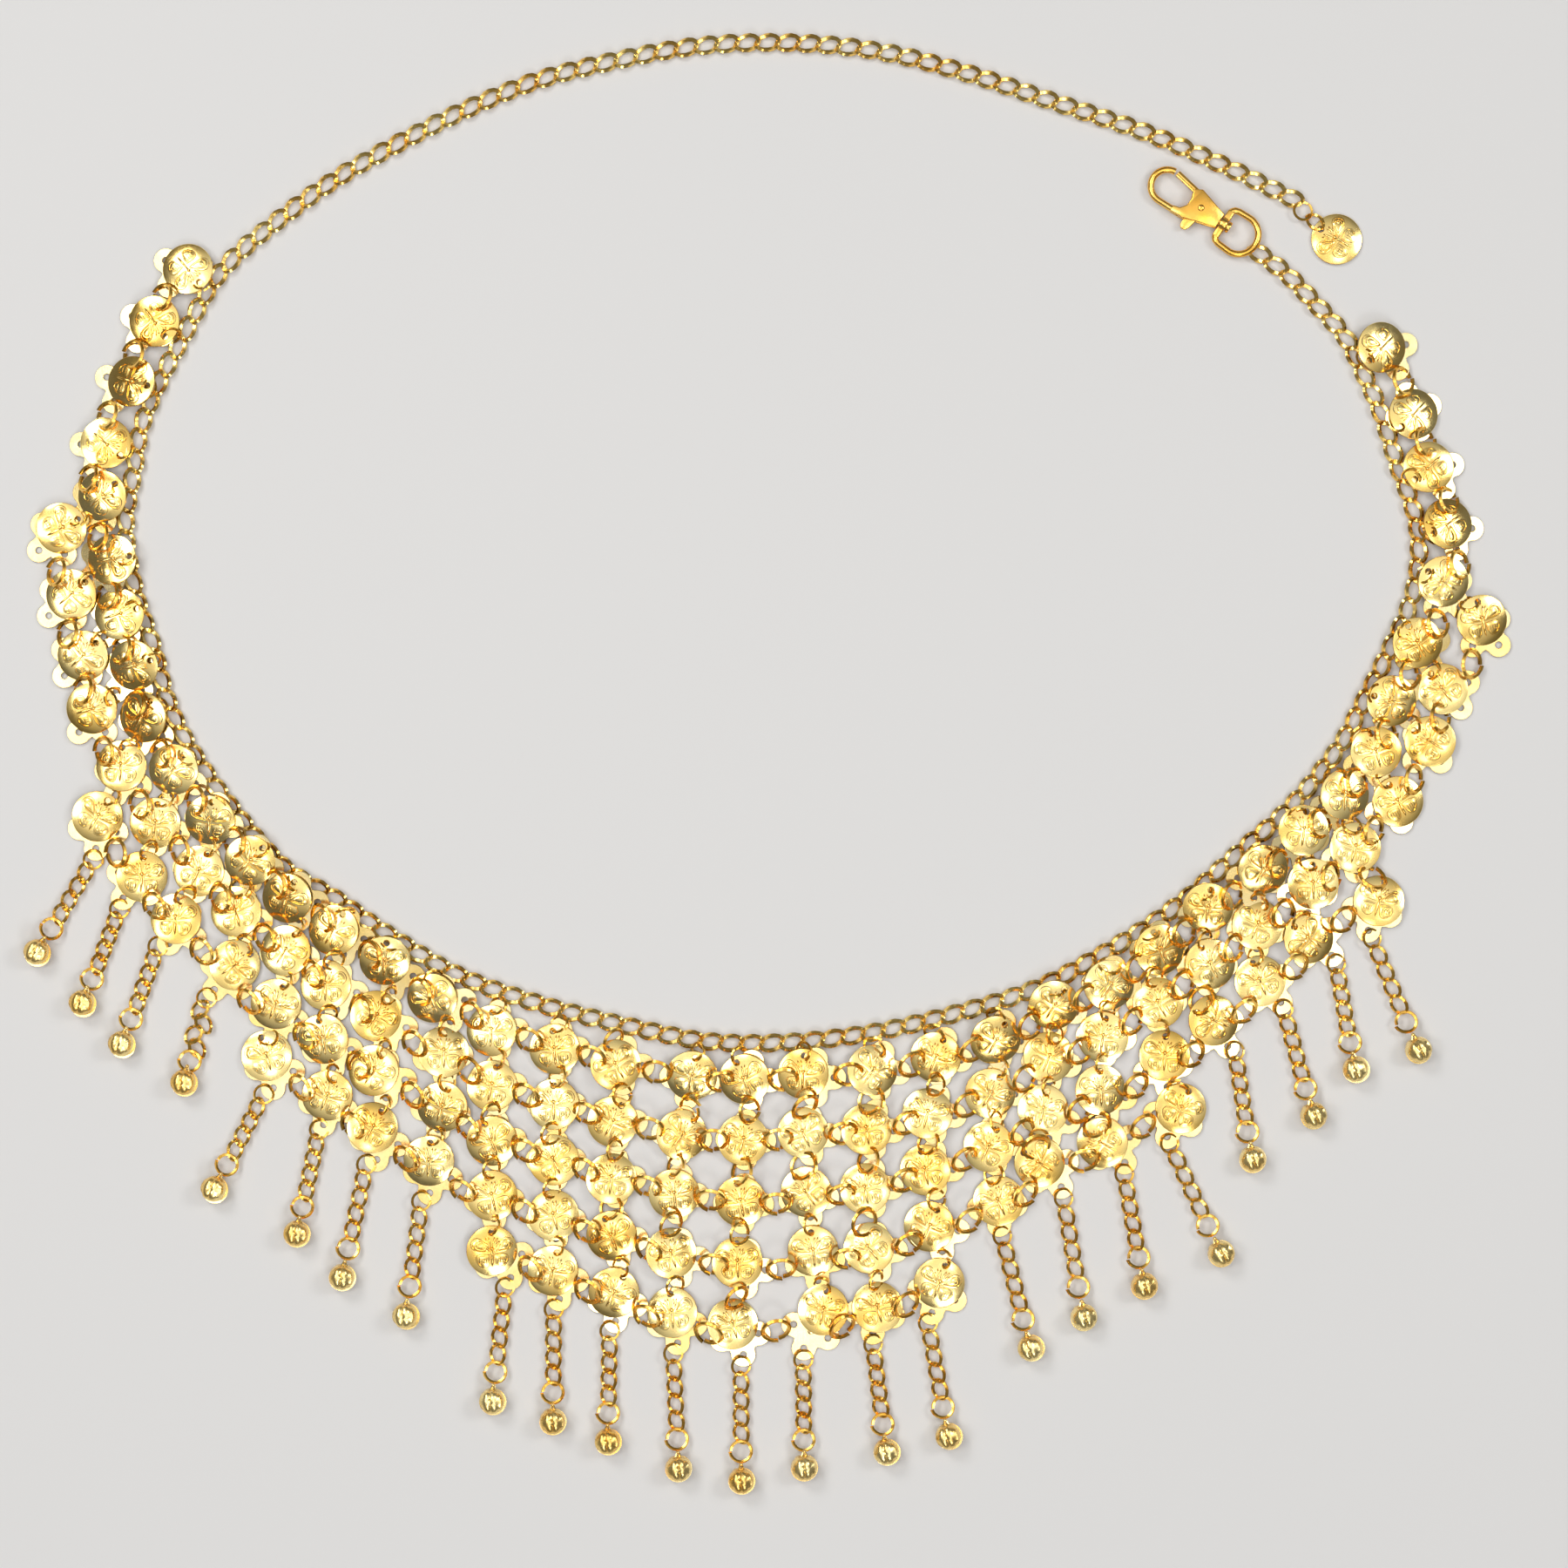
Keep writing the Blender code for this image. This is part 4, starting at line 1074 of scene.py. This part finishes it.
def setLight():
    world = bpy.data.worlds.new("studioAir")
    world.use_nodes = True
    nodes, links = world.node_tree.nodes, world.node_tree.links
    background = nodes["Background"]
    fill(background, {"Strength": studio["worldStrength"]})
    kinds = ("TexCoord", "SeparateXYZ", "ValToRGB")
    sky, split, ramp = (nodes.new("ShaderNode" + kind) for kind in kinds)
    ramp.color_ramp.elements[0].color = (*studio["skyLow"], 1)
    for position, grey in studio["skyStops"]:
        stop = ramp.color_ramp.elements.new(position)
        stop.color = (grey, grey, grey * 1.01, 1)
    connect(links, (sky, "Generated", split, "Vector"), (split, "Z", ramp, "Fac"),
            (ramp, "Color", background, "Color"))
    bpy.context.scene.world = world
    for box in studio["softboxes"]:
        addSoftbox(*box)


def setCamera():
    centre = spot(studio["cameraPixel"])
    startClean()
    objectOps.camera_add(location=(centre[0] * mm, centre[1] * mm, studio["cameraHeight"] * mm))
    camera = bpy.context.object
    camera.rotation_euler = (0, 0, 0)
    camera.data.sensor_width = studio["sensor"]
    camera.data.lens = studio["sensor"] * studio["cameraHeight"] / studio["view"]
    bpy.context.scene.camera = camera
    bpy.context.scene.view_settings.view_transform = "Standard"  # keeps the gold's own colour


def modelMasters(finish):
    masters = {"coin": modelCoin(finish["coinGold"]), "plate": modelPlate(finish["plateGold"]),
               "jump": modelOpenRing("jumpMaster", wires["jump"], finish["ringWireGold"]),
               "bellRing": modelOpenRing("bellRingMaster", wires["bell"], finish["ringWireGold"]),
               "curb": modelLink("curbMaster", wires["curb"], finish["chainWireGold"]),
               "drop": modelLink("dropMaster", wires["drop"], finish["ringWireGold"]),
               "bell": modelBell(finish["bellGold"])}
    for name, master in masters.items():
        print("modelled", name, len(master.data.polygons), "faces")
    return masters


def dressBelt(masters):
    route = Route(chainRoute)
    rows = layoutNet(route)
    for number in range(1, len(rows) + 1):
        piece = buildStrand(number, rows, masters)
        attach(piece, "belt")
        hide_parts(f"strand_{number:02d}")
    print("strands placed")
    for number in range(1, layout["stretches"] + 1):
        piece = buildChainStretch(number, route, masters)
        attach(piece, "belt")
        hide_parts(f"waist_chain_{number:02d}")
    print("chain placed")
    piece = buildEndCoin(masters)
    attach(piece, "belt")
    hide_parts("end_coin")


def main():
    setCamera()
    setFloor()
    setLight()
    finish = makeFinishes()
    print("finishes ready")
    masters = modelMasters(finish)
    dressBelt(masters)
    for master in masters.values():
        bpy.data.objects.remove(master)
    for build in (buildSwivelRing, buildHookBody, buildLever):
        build(finish["claspGold"])
    print("hook placed")
    shown = [o for o in bpy.data.objects if o.type == "MESH" and not o.hide_render]
    print("triangles shown:", sum(len(face.vertices) - 2 for o in shown for face in o.data.polygons))


main()
